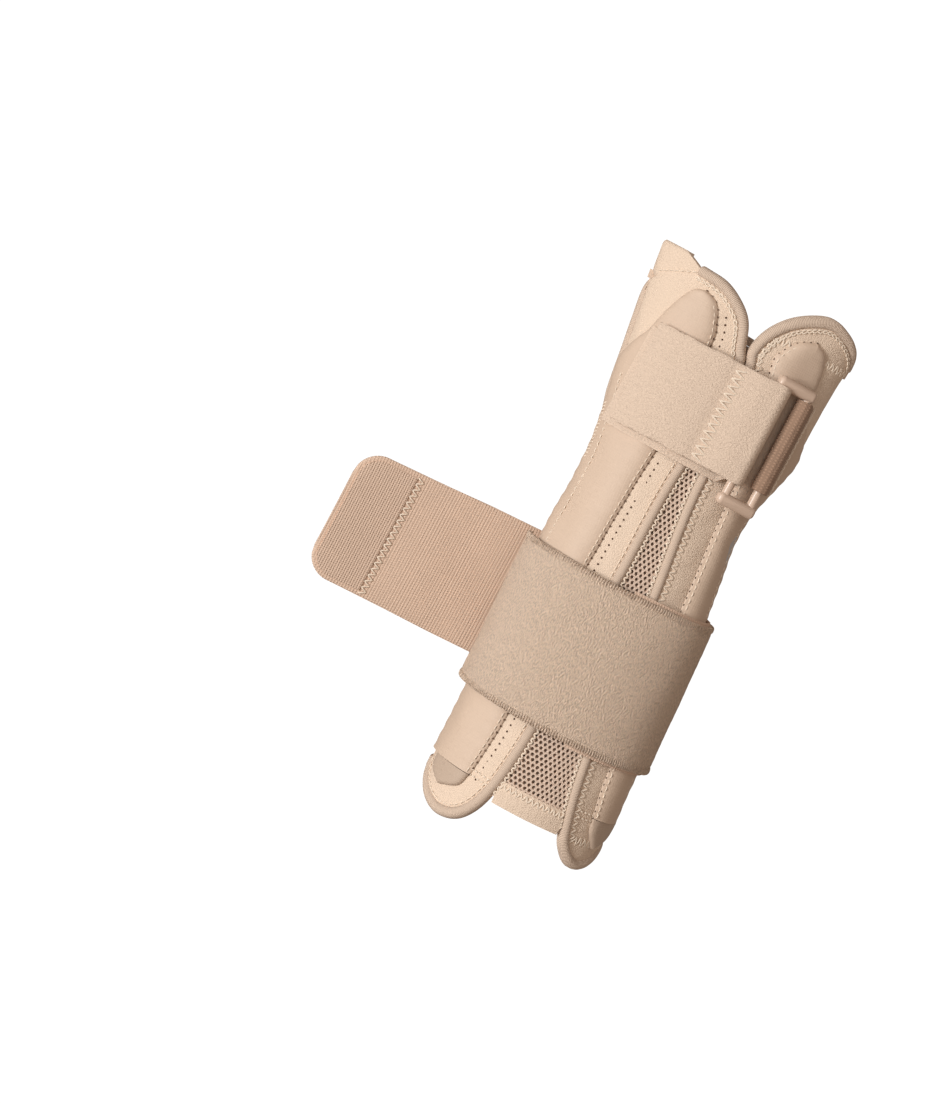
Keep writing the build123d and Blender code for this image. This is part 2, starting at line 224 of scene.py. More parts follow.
def girth_of(x, y):
    """Girth distance of the point on the back of the hand that is seen at plan position x, y (mm)."""
    middle, half = smooth_shape(np.array([float(y)]))[0][:2]
    turn = math.degrees(math.acos(np.clip((x - middle) / (half + LAYOUT_OFF), -1, 1)))
    return girth_from_turn(turn, y)


def turn_of_height(y, off, z, low, high, samples=121):
    """Turn between low and high at which the layer off outside the sleeve is at height z."""
    turns = np.linspace(low, high, samples)
    heights = section_point(turns, float(y), off)[:, 2]
    order = np.argsort(heights)
    return float(np.interp(z, heights[order], turns[order]))


SEAM_Y = np.array([-130, -5, 60, 130.0])
SEAM_Z = np.array([31, 25.4, 22, 21.0])
SEAM_TURNS = {1: (-40, 40), -1: (140, 220)}     # where round the section each side's seam can be


def seam_turn(y, side, samples=81):
    """Turn of the side seam at y."""
    return turn_of_height(y, LAYOUT_OFF, np.interp(y, SEAM_Y, SEAM_Z), *SEAM_TURNS[side], samples)


def side_seam(y, side):
    """Girth distance of the side seam; side is -1 for the thumb side and 1 for the other."""
    return girth_from_turn(seam_turn(y, side, 161), y)


def girth_from_turn(turn, y):
    """Girth distance of a turn round the section at y."""
    girths = np.arange(-GIRTH_REACH, GIRTH_REACH)
    turns = turn_at(girths, np.full(len(girths), float(y)))
    order = np.argsort(turns)
    return float(np.interp(turn, turns[order], girths[order]))


# ---------------------------------------------------------------- curves in the cloth layout

def plan(*points):
    """Plan points on the back of the hand as layout points."""
    return [(girth_of(x, y), y) for x, y in points]


def flowing(points, count):
    """Smooth curve through the points, with the same share of count steps between each pair."""
    points = np.asarray(points, float)
    padded = np.vstack([2 * points[0] - points[1], points, 2 * points[-1] - points[-2]])
    u = np.linspace(0, len(points) - 1, count)
    i = np.minimum(u.astype(int), len(points) - 2)
    t = (u - i)[:, None]
    a, b, c, d = padded[i], padded[i + 1], padded[i + 2], padded[i + 3]
    return 0.5 * (
        2 * b + (c - a) * t + (2 * a - 5 * b + 4 * c - d) * t**2 + (3 * b - a - 3 * c + d) * t**3
    )


def even_rows(path, rows):
    """The path with this many points, evenly spaced."""
    path = np.asarray(path, float)
    run = lengths_along(path)
    at = np.linspace(0, run[-1], rows)
    return np.stack([np.interp(at, run, path[:, k]) for k in range(path.shape[1])], -1)


def evenly(path, step):
    """The path with points about step apart."""
    return even_rows(path, max(2, int(round(lengths_along(path)[-1] / step)) + 1))


def sideways(path):
    """Unit directions in the layout to the left of a path."""
    ahead = np.gradient(path, axis=0)
    left = np.stack([-ahead[:, 1], ahead[:, 0]], -1)
    return left / np.maximum(np.linalg.norm(left, axis=1, keepdims=True), 1e-9)


def moved(path, distance):
    """The path moved to its left by the distance, smoothed where it would fold on itself."""
    path = evenly(path, 1.0)
    out = path + sideways(path) * distance
    for _ in range(4):
        out[1:-1] = (out[:-2] + 2 * out[1:-1] + out[2:]) / 4
    return out


# ---------------------------------------------------------------- meshes

def grid_faces(rows, columns, start=0, flip=False):
    """Faces of a grid of vertices numbered from start."""
    i, j = np.meshgrid(np.arange(rows - 1), np.arange(columns - 1), indexing="ij")
    a = start + i * columns + j
    quads = np.stack([a, a + 1, a + columns + 1, a + columns], -1).reshape(-1, 4)
    return quads[:, ::-1] if flip else quads


def face_outwards(data):
    """Makes all of a closed mesh's faces look outwards."""
    work = bmesh.new()
    work.from_mesh(data)
    bmesh.ops.recalc_face_normals(work, faces=work.faces)
    work.to_mesh(data)
    work.free()


def new_object(name, verts, faces, material, layout=None):
    """Object from points in mm. layout is kept with the mesh, so that the weave follows the cloth."""
    data = bpy.data.meshes.new(name)
    if layout is None:
        layout = verts
    faces = faces.tolist() if hasattr(faces, "tolist") else faces
    data.from_pydata(((np.asarray(verts) + (0, REST_Y, 0)) * MM).tolist(), [], faces)
    face_outwards(data)
    kept = data.attributes.new("cloth", "FLOAT_VECTOR", "POINT")
    kept.data.foreach_set("vector", np.asarray(layout, np.float32).ravel())
    data.update()
    data.shade_smooth()
    data.set_sharp_from_angle(angle=SHARP)
    data.materials.append(material)
    thing = bpy.data.objects.new(name, data)
    bpy.context.collection.objects.link(thing)
    return thing


def shell_mesh(outer, inner):
    """Closed skin between two matching grids of points: vertices and faces."""
    rows, columns = outer.shape[:2]
    verts = np.concatenate([outer.reshape(-1, 3), inner.reshape(-1, 3)])
    under = rows * columns
    faces = [grid_faces(rows, columns), grid_faces(rows, columns, under, flip=True)]
    index = np.arange(rows * columns).reshape(rows, columns)
    border = np.concatenate([index[0, :-1], index[:-1, -1], index[-1, :0:-1], index[:0:-1, 0]])
    after = np.roll(border, -1)
    faces.append(np.stack([after, border, border + under, after + under], -1))
    return verts, np.concatenate(faces)


def sewn_patch(name, left, right, across, lift, under, material):
    """Closed cloth patch between two layout edges. lift and under give the two faces' layers from
    the layout position and the distance in mm from the nearer edge."""
    share = np.linspace(0, 1, across)[None, :, None]
    sy = left[:, None, :] * (1 - share) + right[:, None, :] * share
    width = np.linalg.norm(right - left, axis=1)[:, None]
    edge = np.minimum(share[..., 0], 1 - share[..., 0]) * width
    outer = place(sy[..., 0], sy[..., 1], lift(sy[..., 0], sy[..., 1], edge))
    inner = place(sy[..., 0], sy[..., 1], under + 0 * edge)
    verts, faces = shell_mesh(outer, inner)
    flat = np.concatenate([sy.reshape(-1, 2)] * 2)
    layout = np.column_stack([flat, np.zeros(len(flat))])
    return new_object(name, verts, faces, material, layout)


def cord_mesh(lines, ups, radius, sides=6, flatten=1.0):
    """Tubes along many lines of the same number of points: vertices, faces, along and round."""
    lines = np.asarray(lines, float)
    count, steps = lines.shape[:2]
    ahead = np.gradient(lines, axis=1)
    ahead /= np.maximum(np.linalg.norm(ahead, axis=-1, keepdims=True), 1e-9)
    ups = np.asarray(ups, float)
    ups = np.broadcast_to(ups, lines.shape)
    beside = np.cross(ahead, ups)
    beside /= np.maximum(np.linalg.norm(beside, axis=-1, keepdims=True), 1e-9)
    above = np.cross(beside, ahead)
    round_ = np.arange(sides) * 2 * np.pi / sides
    taper = np.ones(steps)
    taper[0] = taper[-1] = 0.35
    ring = (
        beside[:, :, None] * np.cos(round_)[None, None, :, None]
        + above[:, :, None] * np.sin(round_)[None, None, :, None] * flatten
    )
    verts = lines[:, :, None] + ring * (radius * taper)[None, :, None, None]
    base = (np.arange(count) * steps * sides)[:, None, None]
    i = (np.arange(steps - 1) * sides)[None, :, None]
    j = np.arange(sides)[None, None, :]
    k = (j + 1) % sides
    quads = np.stack(np.broadcast_arrays(base + i + j, base + i + k, base + i + sides + k,
                                         base + i + sides + j), -1).reshape(-1, 4)
    caps = []
    for line in range(count):
        first = line * steps * sides
        last = first + (steps - 1) * sides
        caps.append([first + q for q in range(sides - 1, -1, -1)])
        caps.append([last + q for q in range(sides)])
    return verts.reshape(-1, 3), quads.tolist() + caps


def cord_object(name, batches, radius, material, sides=6):
    """One object from several batches of thread lines, each (lines, ups)."""
    verts, faces, start = [], [], 0
    for lines, ups in batches:
        v, f = cord_mesh(lines, ups, radius, sides)
        verts.append(v)
        faces += [[index + start for index in face] for face in f]
        start += len(v)
    return new_object(name, np.concatenate(verts), faces, material)


def piping(name, path, width, base, height, material):
    """Rounded tape along a layout path, domed over the edge it binds."""
    path = evenly(path, 0.55)
    left = sideways(path)
    around = np.linspace(0, np.pi, 11)
    sy = path[:, None, :] + left[:, None, :] * (np.cos(around) * width / 2)[None, :, None]
    lift = base + height * np.sin(around) ** 0.8
    outer = place(sy[..., 0], sy[..., 1], lift[None, :] + 0 * sy[..., 0])
    inner = place(sy[..., 0], sy[..., 1], base - 0.25 + 0 * sy[..., 0])
    verts, faces = shell_mesh(outer, inner)
    run = lengths_along(path)
    along = np.broadcast_to(run[:, None], outer.shape[:2])
    over = np.broadcast_to(around[None, :] * width / 3, outer.shape[:2])
    flat = np.stack([along, over, 0 * along], -1).reshape(-1, 3)
    return new_object(name, verts, faces, material, np.concatenate([flat, flat]))


# ---------------------------------------------------------------- materials

class Nodes:
    """A material's node tree, with a short way to add and join nodes."""

    def __init__(self, name):
        self.material = bpy.data.materials.new(name)
        self.material.use_nodes = True
        self.tree = self.material.node_tree
        self.shader = self.tree.nodes["Principled BSDF"]

    def feed(self, socket, value):
        """Sets a socket to a value, or links another socket to it."""
        if isinstance(value, bpy.types.NodeSocket):
            self.tree.links.new(value, socket)
        else:
            socket.default_value = value

    def add(self, kind, inputs, **settings):
        """Adds a node with its inputs and settings."""
        node = self.tree.nodes.new(kind)
        for key, value in settings.items():
            setattr(node, key, value)
        for key, value in inputs.items():
            self.feed(node.inputs[key], value)
        return node

    def maths(self, operation, a, b=0.0, limit=False):
        """Result of a sum."""
        return self.add("ShaderNodeMath", {0: a, 1: b}, operation=operation, use_clamp=limit).outputs[0]

    def noise(self, at, size, detail=3.0):
        """Noise with features of about this size."""
        return self.add("ShaderNodeTexNoise", {"Vector": at, "Scale": 1 / size, "Detail": detail}).outputs[0]

    def mix(self, factor, a, b):
        """Blend of two colours."""
        return self.add("ShaderNodeMix", {0: factor, 6: a, 7: b}, data_type="RGBA").outputs[2]

    def ribs(self, coordinate, pitch):
        """Rounded ribs, 0 in the grooves and 1 on the crests."""
        wave = self.maths("SINE", self.maths("MULTIPLY", coordinate, 2 * math.pi / pitch))
        return self.maths("ADD", self.maths("MULTIPLY", wave, 0.5), 0.5)


def cloth(name, rgb, ribs=(0, 0), ribbed=0.5, fuzz=0.25, nap=(1, 1, 1), turn=0.0, rough=0.9,
          sheen=0.1, mottled=0.12, groove_shade=0.25, relief=0.35, shine=0.3, contrast=1.0):
    """Cloth laid out along the piece: ribs are pitches in mm along the layout's two directions,
    fuzz the size of the nap, nap and turn its stretch and slant, relief its height in mm. The colour
    is darkened where the weave and nap are low: painted shade in their grooves."""
    n = Nodes(name)
    at = n.add("ShaderNodeAttribute", {}, attribute_name="cloth").outputs["Vector"]
    axes = n.add("ShaderNodeSeparateXYZ", {"Vector": at})
    slanted = n.add("ShaderNodeMapping", {
        "Vector": at, "Rotation": (0, 0, turn), "Scale": nap}).outputs[0]
    nap_height = n.noise(slanted, fuzz, 4.0)
    nap_height = n.maths(
        "ADD", n.maths("MULTIPLY", n.maths("SUBTRACT", nap_height, 0.5), contrast), 0.5, True)
    height = n.maths("MULTIPLY", nap_height, 1 - ribbed)
    woven = 1.0
    for axis, pitch in enumerate(ribs):
        if pitch:
            woven = n.maths("MULTIPLY", n.ribs(axes.outputs[axis], pitch), woven)
    if any(ribs):
        height = n.maths("ADD", n.maths("MULTIPLY", woven, ribbed), height)
    patches = n.noise(at, 9.0, 2.0)
    # Painted shade: the colour is darker where the weave and nap are low, as if shade fell in the grooves.
    dark = tuple(c * (1 - groove_shade) for c in rgb)
    body = n.mix(n.maths("MULTIPLY", height, 1.35, True), (*dark, 1), (*rgb, 1))
    worn = tuple(c * (1 - mottled) for c in rgb)
    n.feed(n.shader.inputs["Base Color"], n.mix(
        n.maths("MULTIPLY", n.maths("SUBTRACT", 0.72, patches, True), 1.0), body, (*worn, 1)))
    bump = n.add("ShaderNodeBump", {
        "Height": height, "Distance": relief * MM, "Strength": 1.0})
    n.feed(n.shader.inputs["Normal"], bump.outputs[0])
    n.shader.inputs["Roughness"].default_value = rough
    n.shader.inputs["Sheen Weight"].default_value = sheen
    n.shader.inputs["Sheen Roughness"].default_value = 0.6
    n.shader.inputs["Specular IOR Level"].default_value = shine
    return n.material


def plain(name, rgb, rough, metallic=0.0, grain=0.3, relief=0.02, shine=0.5):
    """Moulded or metal finish with a fine grain."""
    n = Nodes(name)
    at = n.add("ShaderNodeTexCoord", {}).outputs["Object"]
    fine = n.noise(at, grain * MM, 3.0)
    broad = n.noise(at, 6 * MM, 2.0)
    n.feed(n.shader.inputs["Base Color"], n.mix(broad, (*[c * 0.93 for c in rgb], 1), (*rgb, 1)))
    n.feed(n.shader.inputs["Roughness"], n.maths(
        "ADD", n.maths("MULTIPLY", fine, 0.12), rough - 0.06))
    bump = n.add("ShaderNodeBump", {"Height": fine, "Distance": relief * MM, "Strength": 1.0})
    n.feed(n.shader.inputs["Normal"], bump.outputs[0])
    n.shader.inputs["Metallic"].default_value = metallic
    n.shader.inputs["Specular IOR Level"].default_value = shine
    return n.material


def shared(name, make):
    """A material made once and used by several pieces."""
    name = f"look_{name}"
    return bpy.data.materials.get(name) or make(name)


def suede():
    """Brushed cloth of the back panels and the palm."""
    return shared("suede", lambda name: cloth(
        name, colours().suede, ribbed=0, fuzz=0.55, mottled=0.08, groove_shade=0.18, relief=0.3,
        contrast=1.8))


def satin():
    """Smooth cloth over the stays."""
    return shared("cover", lambda name: cloth(
        name, colours().cover, ribs=(0.9, 0.9), ribbed=0.25, fuzz=1.3, rough=0.62, mottled=0.09,
        groove_shade=0.12, relief=0.16, shine=0.42, sheen=0.05))


def tape():
    """Fine ribbed tape of the bound edges."""
    return shared("tape", lambda name: cloth(
        name, colours().tape, ribs=(0.62, 0), ribbed=0.7, fuzz=0.3, groove_shade=0.22, relief=0.25))


def knitted_mesh():
    """Knit between the holes of the mesh."""
    return shared("mesh", lambda name: cloth(
        name, colours().mesh_cloth, ribs=(0.5, 0.5), ribbed=0.5, fuzz=0.3, groove_shade=0.3, relief=0.2))


def lining_cloth():
    """Plain cloth inside the sleeve."""
    return shared("lining", lambda name: cloth(
        name, colours().lining, ribs=(0.8, 0.8), ribbed=0.4, fuzz=0.4, groove_shade=0.2, relief=0.15))


def pile():
    """Loop pile of the forearm band."""
    return shared("pile", lambda name: cloth(
        name, colours().band, ribbed=0, fuzz=0.46, nap=(1, 0.42, 1), turn=0.75, mottled=0.08,
        groove_shade=0.36, relief=0.75, sheen=0.15, contrast=3.2))


def strap_back():
    """Ribbed back of the forearm strap."""
    return shared("strap_back", lambda name: cloth(
        name, colours().band_back, ribs=(1.15, 0.8), ribbed=0.75, fuzz=0.5, mottled=0.1,
        groove_shade=0.3, relief=0.3, rough=0.8))


def brushed_webbing():
    """Soft webbing of the hand strap."""
    return shared("webbing", lambda name: cloth(
        name, colours().webbing, ribs=(0, 2.2), ribbed=0.12, fuzz=0.42, nap=(0.5, 1, 1), turn=0.3,
        mottled=0.08, groove_shade=0.2, relief=0.4, sheen=0.15, contrast=2.0))


def elastic_cloth():
    """Coarse ribbed elastic that holds the ring."""
    return shared("elastic", lambda name: cloth(
        name, colours().elastic, ribs=(1.7, 1.15), ribbed=0.6, fuzz=0.35, groove_shade=0.5, relief=0.4))


def hook_tape():
    """Hook side of the fastenings."""
    return shared("hooks", lambda name: cloth(
        name, tuple(c * 0.95 for c in colours().band_back), ribs=(1.0, 1.0), ribbed=0.8, fuzz=0.3,
        groove_shade=0.28, relief=0.4, rough=0.6))


def thread_stuff():
    """Sewing thread."""
    return shared("thread", lambda name: cloth(
        name, colours().thread, fuzz=0.3, groove_shade=0.15, relief=0.05, rough=0.7, mottled=0.05))


def needle_dark():
    """Shade inside a needle hole."""
    return shared("needle_hole", lambda name: cloth(
        name, colours().hole, fuzz=0.3, groove_shade=0.1, relief=0.02, sheen=0, shine=0.1))


# ---------------------------------------------------------------- shapes of the sewn pieces

MESH_RADIAL = ((-1.6, 82), (-3.4, 39), (-4.8, -10), (-7.5, -69), (-11, -97))
MESH_ULNAR = ((0.2, 82), (3.4, 39), (8.6, -10), (14, -69), (20, -97))
RADIAL_LOBE_NEAR = ((-17, -110), (-25, -114.5), (-31.5, -113), (-35.4, -106.8),
                    (-37, -101))
RADIAL_LOBE_FAR = ((-33, 110), (-21, 108.5), (-9, 101), (-4, 90))
ULNAR_LOBE_NEAR = ((25, -106), (31, -110), (36.5, -108.5), (40, -101.5))
ULNAR_LOBE_FAR = ((38, 102.5), (36.2, 108.5), (30, 113.2), (21, 115), (9, 109.5), (1, 101), (-2.2, 91))
ROWS = 300


def ripple(s, y, size, seed):
    """Gentle creases between -1 and 1, size mm from crest to crest, the same each time."""
    source = np.random.default_rng(seed)
    total = 0
    for _ in range(6):
        slant = source.uniform(0, 2 * np.pi)
        reach = size * source.uniform(0.7, 1.6)
        total = total + np.sin(
            (s * np.cos(slant) + y * np.sin(slant)) * 2 * np.pi / reach + source.uniform(0, 6.28))
    return total / 3.2


def seam_path(y_from, y_to, side, inside=0.0):
    """Layout points down a side seam."""
    return [(side_seam(y, side) - side * inside, y) for y in np.linspace(y_from, y_to, 24)]


def radial_edges():
    """Mesh side and seam side of the thumb side's back panel, both from the fingers down."""
    mesh_side = flowing(plan(*RADIAL_LOBE_FAR, *MESH_RADIAL, *RADIAL_LOBE_NEAR), 240)
    seam_side = np.vstack([
        flowing(plan((-33, 110), (-41, 106.9), (-43.5, 103)), 30)[:-1],
        seam_path(97, -97, -1), flowing([(side_seam(-99, -1), -99), *plan((-37, -101))], 12)])
    return mesh_side, seam_side


def ulnar_edges():
    """Mesh side and seam side of the little-finger side's back panel, both from the fingers down."""
    mesh_side = flowing(plan(*ULNAR_LOBE_FAR, *MESH_ULNAR, *ULNAR_LOBE_NEAR), 240)
    seam_side = np.vstack([
        flowing([*plan((38, 102.5)), (side_seam(100, 1), 100)], 12)[:-1],
        seam_path(98, -93, 1), flowing([(side_seam(-96, 1), -96), *plan((40, -101.5))], 12)])
    return mesh_side, seam_side


def fit_piece(thing, body, slot, *nodes):
    """The piece moves with the body and stands for the frame's nodes, which are hidden. slot is not used."""
    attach(thing, body)
    if nodes:
        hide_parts(*nodes)
    return thing


def panel_lift(seed):
    """Outer layer of a back panel; the seed sets its creases."""
    def lift(s, y, edge):
        """Outer layer from the layout position and the distance from the edge."""
        return 3.36 - 1.5 * np.exp(-edge / 1.1) + 0.16 * ripple(s, y, 13, seed) * (1 - np.exp(-edge / 3))
    return lift


def back_panels():
    """The two back panels and the tape round their edges."""
    made = []
    for name, (mesh_side, seam_side), seed in (
            ("radial", radial_edges(), 3), ("ulnar", ulnar_edges(), 5)):
        inset = moved(mesh_side, 1.6 if name == "ulnar" else -1.6)
        left, right = even_rows(seam_side, ROWS), even_rows(inset, ROWS)
        thing = sewn_patch(f"{name}_back_panel", left, right, 52, panel_lift(seed), 0.95, suede())
        made.append(fit_piece(thing, "sleeve", "suede", f"{name}_panel"))
        inward = 1.7 if name == "ulnar" else -1.7
        bound = piping(f"{name}_edge_piping", moved(mesh_side, inward), sizes().piping_width / MM,
                       1.3, sizes().piping_height / MM, tape())
        made.append(fit_piece(bound, "sleeve", "binding", f"{name}_binding"))
    return made


POCKETS = {
    "radial": dict(
        open_side=((-27, 103), (-21.5, 100.5), (-18, 94), (-16, 84), (-16.4, 37), (-18.8, -9), (-19.4, -69),
                   (-21.4, -95.6)),
        top=((-27, 103), (-32, 101), (-36.3, 92), (-39.5, 80)), top_y=66, end_y=-95.6, side=-1,
        stay=((-22, 92), (-24, 30), (-27, -40), (-32, -91))),
    "ulnar": dict(
        open_side=((19.5, 105), (13, 102), (8.8, 96), (8.2, 88), (18.2, 36), (21.8, -9), (25.5, -69),
                   (28.8, -89.4)),
        top=((19.5, 105), (24.8, 102.2), (27.6, 95), (28.6, 84)), top_y=60, end_y=-89.4, side=1,
        stay=((13, 90), (22, 30), (28, -40), (34, -88))),
}


def stay_pockets():
    """Covers over the back stays, puffed and puckered along their seams."""
    made = []
    swell = sizes().pocket_swell / MM
    for name, shape in POCKETS.items():
        open_side = flowing(plan(*shape["open_side"]), 240)
        top = flowing(plan(*shape["top"]), 14)
        seam = np.array(seam_path(shape["top_y"], shape["end_y"], shape["side"], 0.4))
        left = even_rows(np.vstack([top, seam]), ROWS)
        right = even_rows(open_side, ROWS)
        stay = flowing(plan(*shape["stay"]), 60)
        order = np.argsort(stay[:, 1])
        stay_y, stay_s = stay[order, 1], stay[order, 0]

        def lift(s, y, edge):
            """Outer layer from the layout position and the distance from the edge."""
            over_stay = np.exp(-((s - np.interp(y, stay_y, stay_s)) / 7.0) ** 2)
            puff = 1 - np.exp(-edge / 1.9)
            pucker = 0.26 * np.cos(2 * np.pi * y / 5.3 + np.sin(y / 9)) * np.exp(-edge / 4.5) * puff
            return (3.75 + 1.7 * puff + swell * 0.35 * over_stay * puff + pucker
                    + 0.2 * ripple(s, y, 17, 11) * puff)

        thing = sewn_patch(f"{name}_stay_pocket_cover", left, right, 56, lift, 3.5, satin())
        made.append(fit_piece(thing, "sleeve", "cover_satin", f"{name}_stay_pocket"))
    return made + tongue_ends()


TONGUE_ENDS = {
    "radial": (((-34.2, -95.8), (-33.6, -101), (-29.6, -105)),
               ((-21.6, -95.8), (-23.6, -101.5), (-29.5, -105))),
    "ulnar": (((29.0, -89.6), (30.4, -95), (34, -100.8)),
              ((38.8, -89.6), (38, -96), (34.1, -100.8))),
}


def tongue_ends():
    """Doubled cloth at the forearm end of each pocket."""
    made = []
    for name, (left, right) in TONGUE_ENDS.items():
        a, b = even_rows(flowing(plan(*left), 40), 40), even_rows(flowing(plan(*right), 40), 40)
        stuff = shared("cover_shaded", lambda name: cloth(
            name, tuple(c * 0.8 for c in colours().cover), ribs=(0.9, 0.9), ribbed=0.25, fuzz=1.3,
            rough=0.6, groove_shade=0.12, relief=0.16))
        thing = sewn_patch(f"{name}_tongue_end", a, b, 24,
                           lambda s, y, edge: 4.6 + 1.0 * (1 - np.exp(-edge / 1.1)), 3.5, stuff)
        made.append(fit_piece(thing, "sleeve", "cover_satin"))
    return made


def wedge(y):
    """Layout girths of the mesh's two edges at y."""
    radial, ulnar = flowing(plan(*MESH_RADIAL), 120), flowing(plan(*MESH_ULNAR), 120)
    return (np.interp(y, radial[::-1, 1], radial[::-1, 0]), np.interp(y, ulnar[::-1, 1], ulnar[::-1, 0]))


def mesh_cells():
    """Knitted mesh with a real hole in each cell, and a dark sheet behind it that paints the shade seen
    through the holes.
    """
    pitch = sizes().mesh_pitch / MM
    ys = np.arange(-97, 83, pitch * math.sqrt(3) / 2)
    left, right = wedge(ys)
    centres = []
    for row, (y, a, b) in enumerate(zip(ys, left, right)):
        first = math.floor((a - 1.2) / pitch) * pitch + (pitch / 2 if row % 2 else 0)
        centres += [(s, y) for s in np.arange(first, b + 1.2, pitch) if s > a - 1.2]
    centres = np.array(centres)
    corner = np.radians(np.arange(12) * 30 + 30)
    reach = np.where(np.arange(12) % 2 == 0, pitch / math.sqrt(3), pitch / 2)
    rings = [(reach, 2.7), (np.full(12, 0.40 * pitch), 2.75), (np.full(12, 0.325 * pitch), 2.45),
             (np.full(12, 0.30 * pitch), 1.25)]
    layers, layouts = [], []
    for radius, off in rings:
        s = centres[:, :1] + np.cos(corner) * radius
        y = centres[:, 1:] + np.sin(corner) * radius
        layers.append(place(s, y, off))
        layouts.append(np.stack([s, y, 0 * s], -1))
    verts = np.stack(layers, 1).reshape(-1, 3)
    cells = (np.arange(len(centres)) * 48)[:, None, None]
    ring = (np.arange(3) * 12)[None, :, None]
    i = np.arange(12)[None, None, :]
    k = (i + 1) % 12
    faces = np.stack(np.broadcast_arrays(cells + ring + i, cells + ring + k, cells + ring + 12 + k,
                                         cells + ring + 12 + i), -1).reshape(-1, 4)
    holes = new_object("mesh_knit", verts, faces, knitted_mesh(), np.stack(layouts, 1).reshape(-1, 3))
    fit_piece(holes, "sleeve", "mesh", "mesh_panel")
    # Painted shade: a dark sheet at a third of the mesh colour fills the holes with the shade under the
    # mesh.
    ys = np.linspace(83, -98, 120)
    left, right = wedge(ys)
    shade_sheet = sewn_patch(
        "mesh_painted_shade", np.stack([left - 2, ys], -1), np.stack([right + 2, ys], -1), 16,
        lambda s, y, edge: 1.15 + 0 * s, 0.5, shared("mesh_painted_shade", lambda name: cloth(
            name, tuple(c * 0.34 for c in colours().mesh_cloth), fuzz=0.4)))
    fit_piece(shade_sheet, "sleeve", "mesh")
    ys = np.linspace(-91.2, -100.3, 14)
    left, right = wedge(np.maximum(ys, -97))
    hem = sewn_patch(
        "mesh_end_hem", np.stack([left + 1.2, ys], -1), np.stack([right - 1.2, ys], -1), 36,
        lambda s, y, edge: 3.1 + 0.35 * np.sin(np.clip((y + 100.3) / 9.1, 0, 1) * np.pi)
        + 0.05 * np.cos(2 * np.pi * s / 3.1), 1.0, suede())
    fit_piece(hem, "sleeve", "suede", "mesh_hem")
    return [holes, shade_sheet, hem]


# ---------------------------------------------------------------- the palm side

def turns_round(y, spans, count):
    """Turns at even distances round the section at y, along spans such as the palm side."""
    turns = np.concatenate([np.linspace(a, b, 46) for a, b in spans])
    points = section_point(turns, y, LAYOUT_OFF)
    run = lengths_along(points)
    run += np.arange(len(run)) * 1e-9
    at = np.linspace(0, run[-1], count)
    i = np.clip(np.searchsorted(run, at) - 1, 0, len(run) - 2)
    share = (at - run[i]) / (run[i + 1] - run[i])
    jump = np.abs(turns[i + 1] - turns[i]) > 60
    return np.where(jump, turns[i], turns[i] + share * (turns[i + 1] - turns[i])), at


def round_grid(ys, spans_at, count, wobble=None):
    """Turn, y and girth grids of a piece that goes round the sleeve."""
    turns, girths = zip(*(turns_round(y, spans_at(y), count) for y in ys))
    turns, girths = np.array(turns), np.array(girths)
    y = np.broadcast_to(np.asarray(ys)[:, None], turns.shape).copy()
    if wobble is not None:
        y = wobble(y, girths)
    return turns, y, girths


def round_piece(name, turns, y, girths, outer, inner, material, floor=None):
    """Closed piece between two layers of a grid that goes round the sleeve."""
    top, under = section_point(turns, y, outer), section_point(turns, y, inner)
    if floor is not None:
        top[..., 2] = np.maximum(top[..., 2], floor)
        under[..., 2] = np.maximum(under[..., 2], floor + 0.7)
    verts, faces = shell_mesh(top, under)
    flat = np.stack([girths, y, 0 * y], -1).reshape(-1, 3)
    return new_object(name, verts, faces, material, np.concatenate([flat, flat]))


def palm_spans(y):
    """Turns of the palm side, from seam to seam, in stretches that leave out the jump."""
    return ((seam_turn(y, -1) + 0.6, 270), (270, 300), (-90, seam_turn(y, 1) - 0.6))


THUMB_AT = np.array([-33, 71, 13.5])
THUMB_OUT = np.array([-math.cos(math.radians(25)), 0, -math.sin(math.radians(25))])
THUMB_ACROSS = np.cross(THUMB_OUT, [0, 1, 0])
THUMB_HALF, THUMB_RADIUS = 17.0, 11.0


def thumb_local(points):
    """Points along, across and out of the thumb hole's own plane."""
    away = points - THUMB_AT
    return away[..., 1], away @ THUMB_ACROSS, away @ THUMB_OUT


def thumb_distance(points):
    """Distance outside the thumb hole's outline, and the nearest point of its middle line."""
    u, v, out = thumb_local(points)
    nearest = np.clip(u, -THUMB_HALF, THUMB_HALF)
    reach = np.hypot(u - nearest, v)
    reach = np.where((out > -10) & (out < 30), reach, 99)
    return reach - THUMB_RADIUS, nearest


PALM_EDGE_X = np.array([-62, -30, -22, -14, -6, 10, 38, 62])
PALM_EDGE_Y = np.array([97, 97, 104, 99, 92, 91, 98, 99])


def palm_edge(x):
    """Where the palm panel ends at the fingers, from its place across."""
    return np.interp(x, PALM_EDGE_X, PALM_EDGE_Y)


def level(y):
    """Edge of the palm side that is at the same y all the way across."""
    return lambda x: y + 0 * x


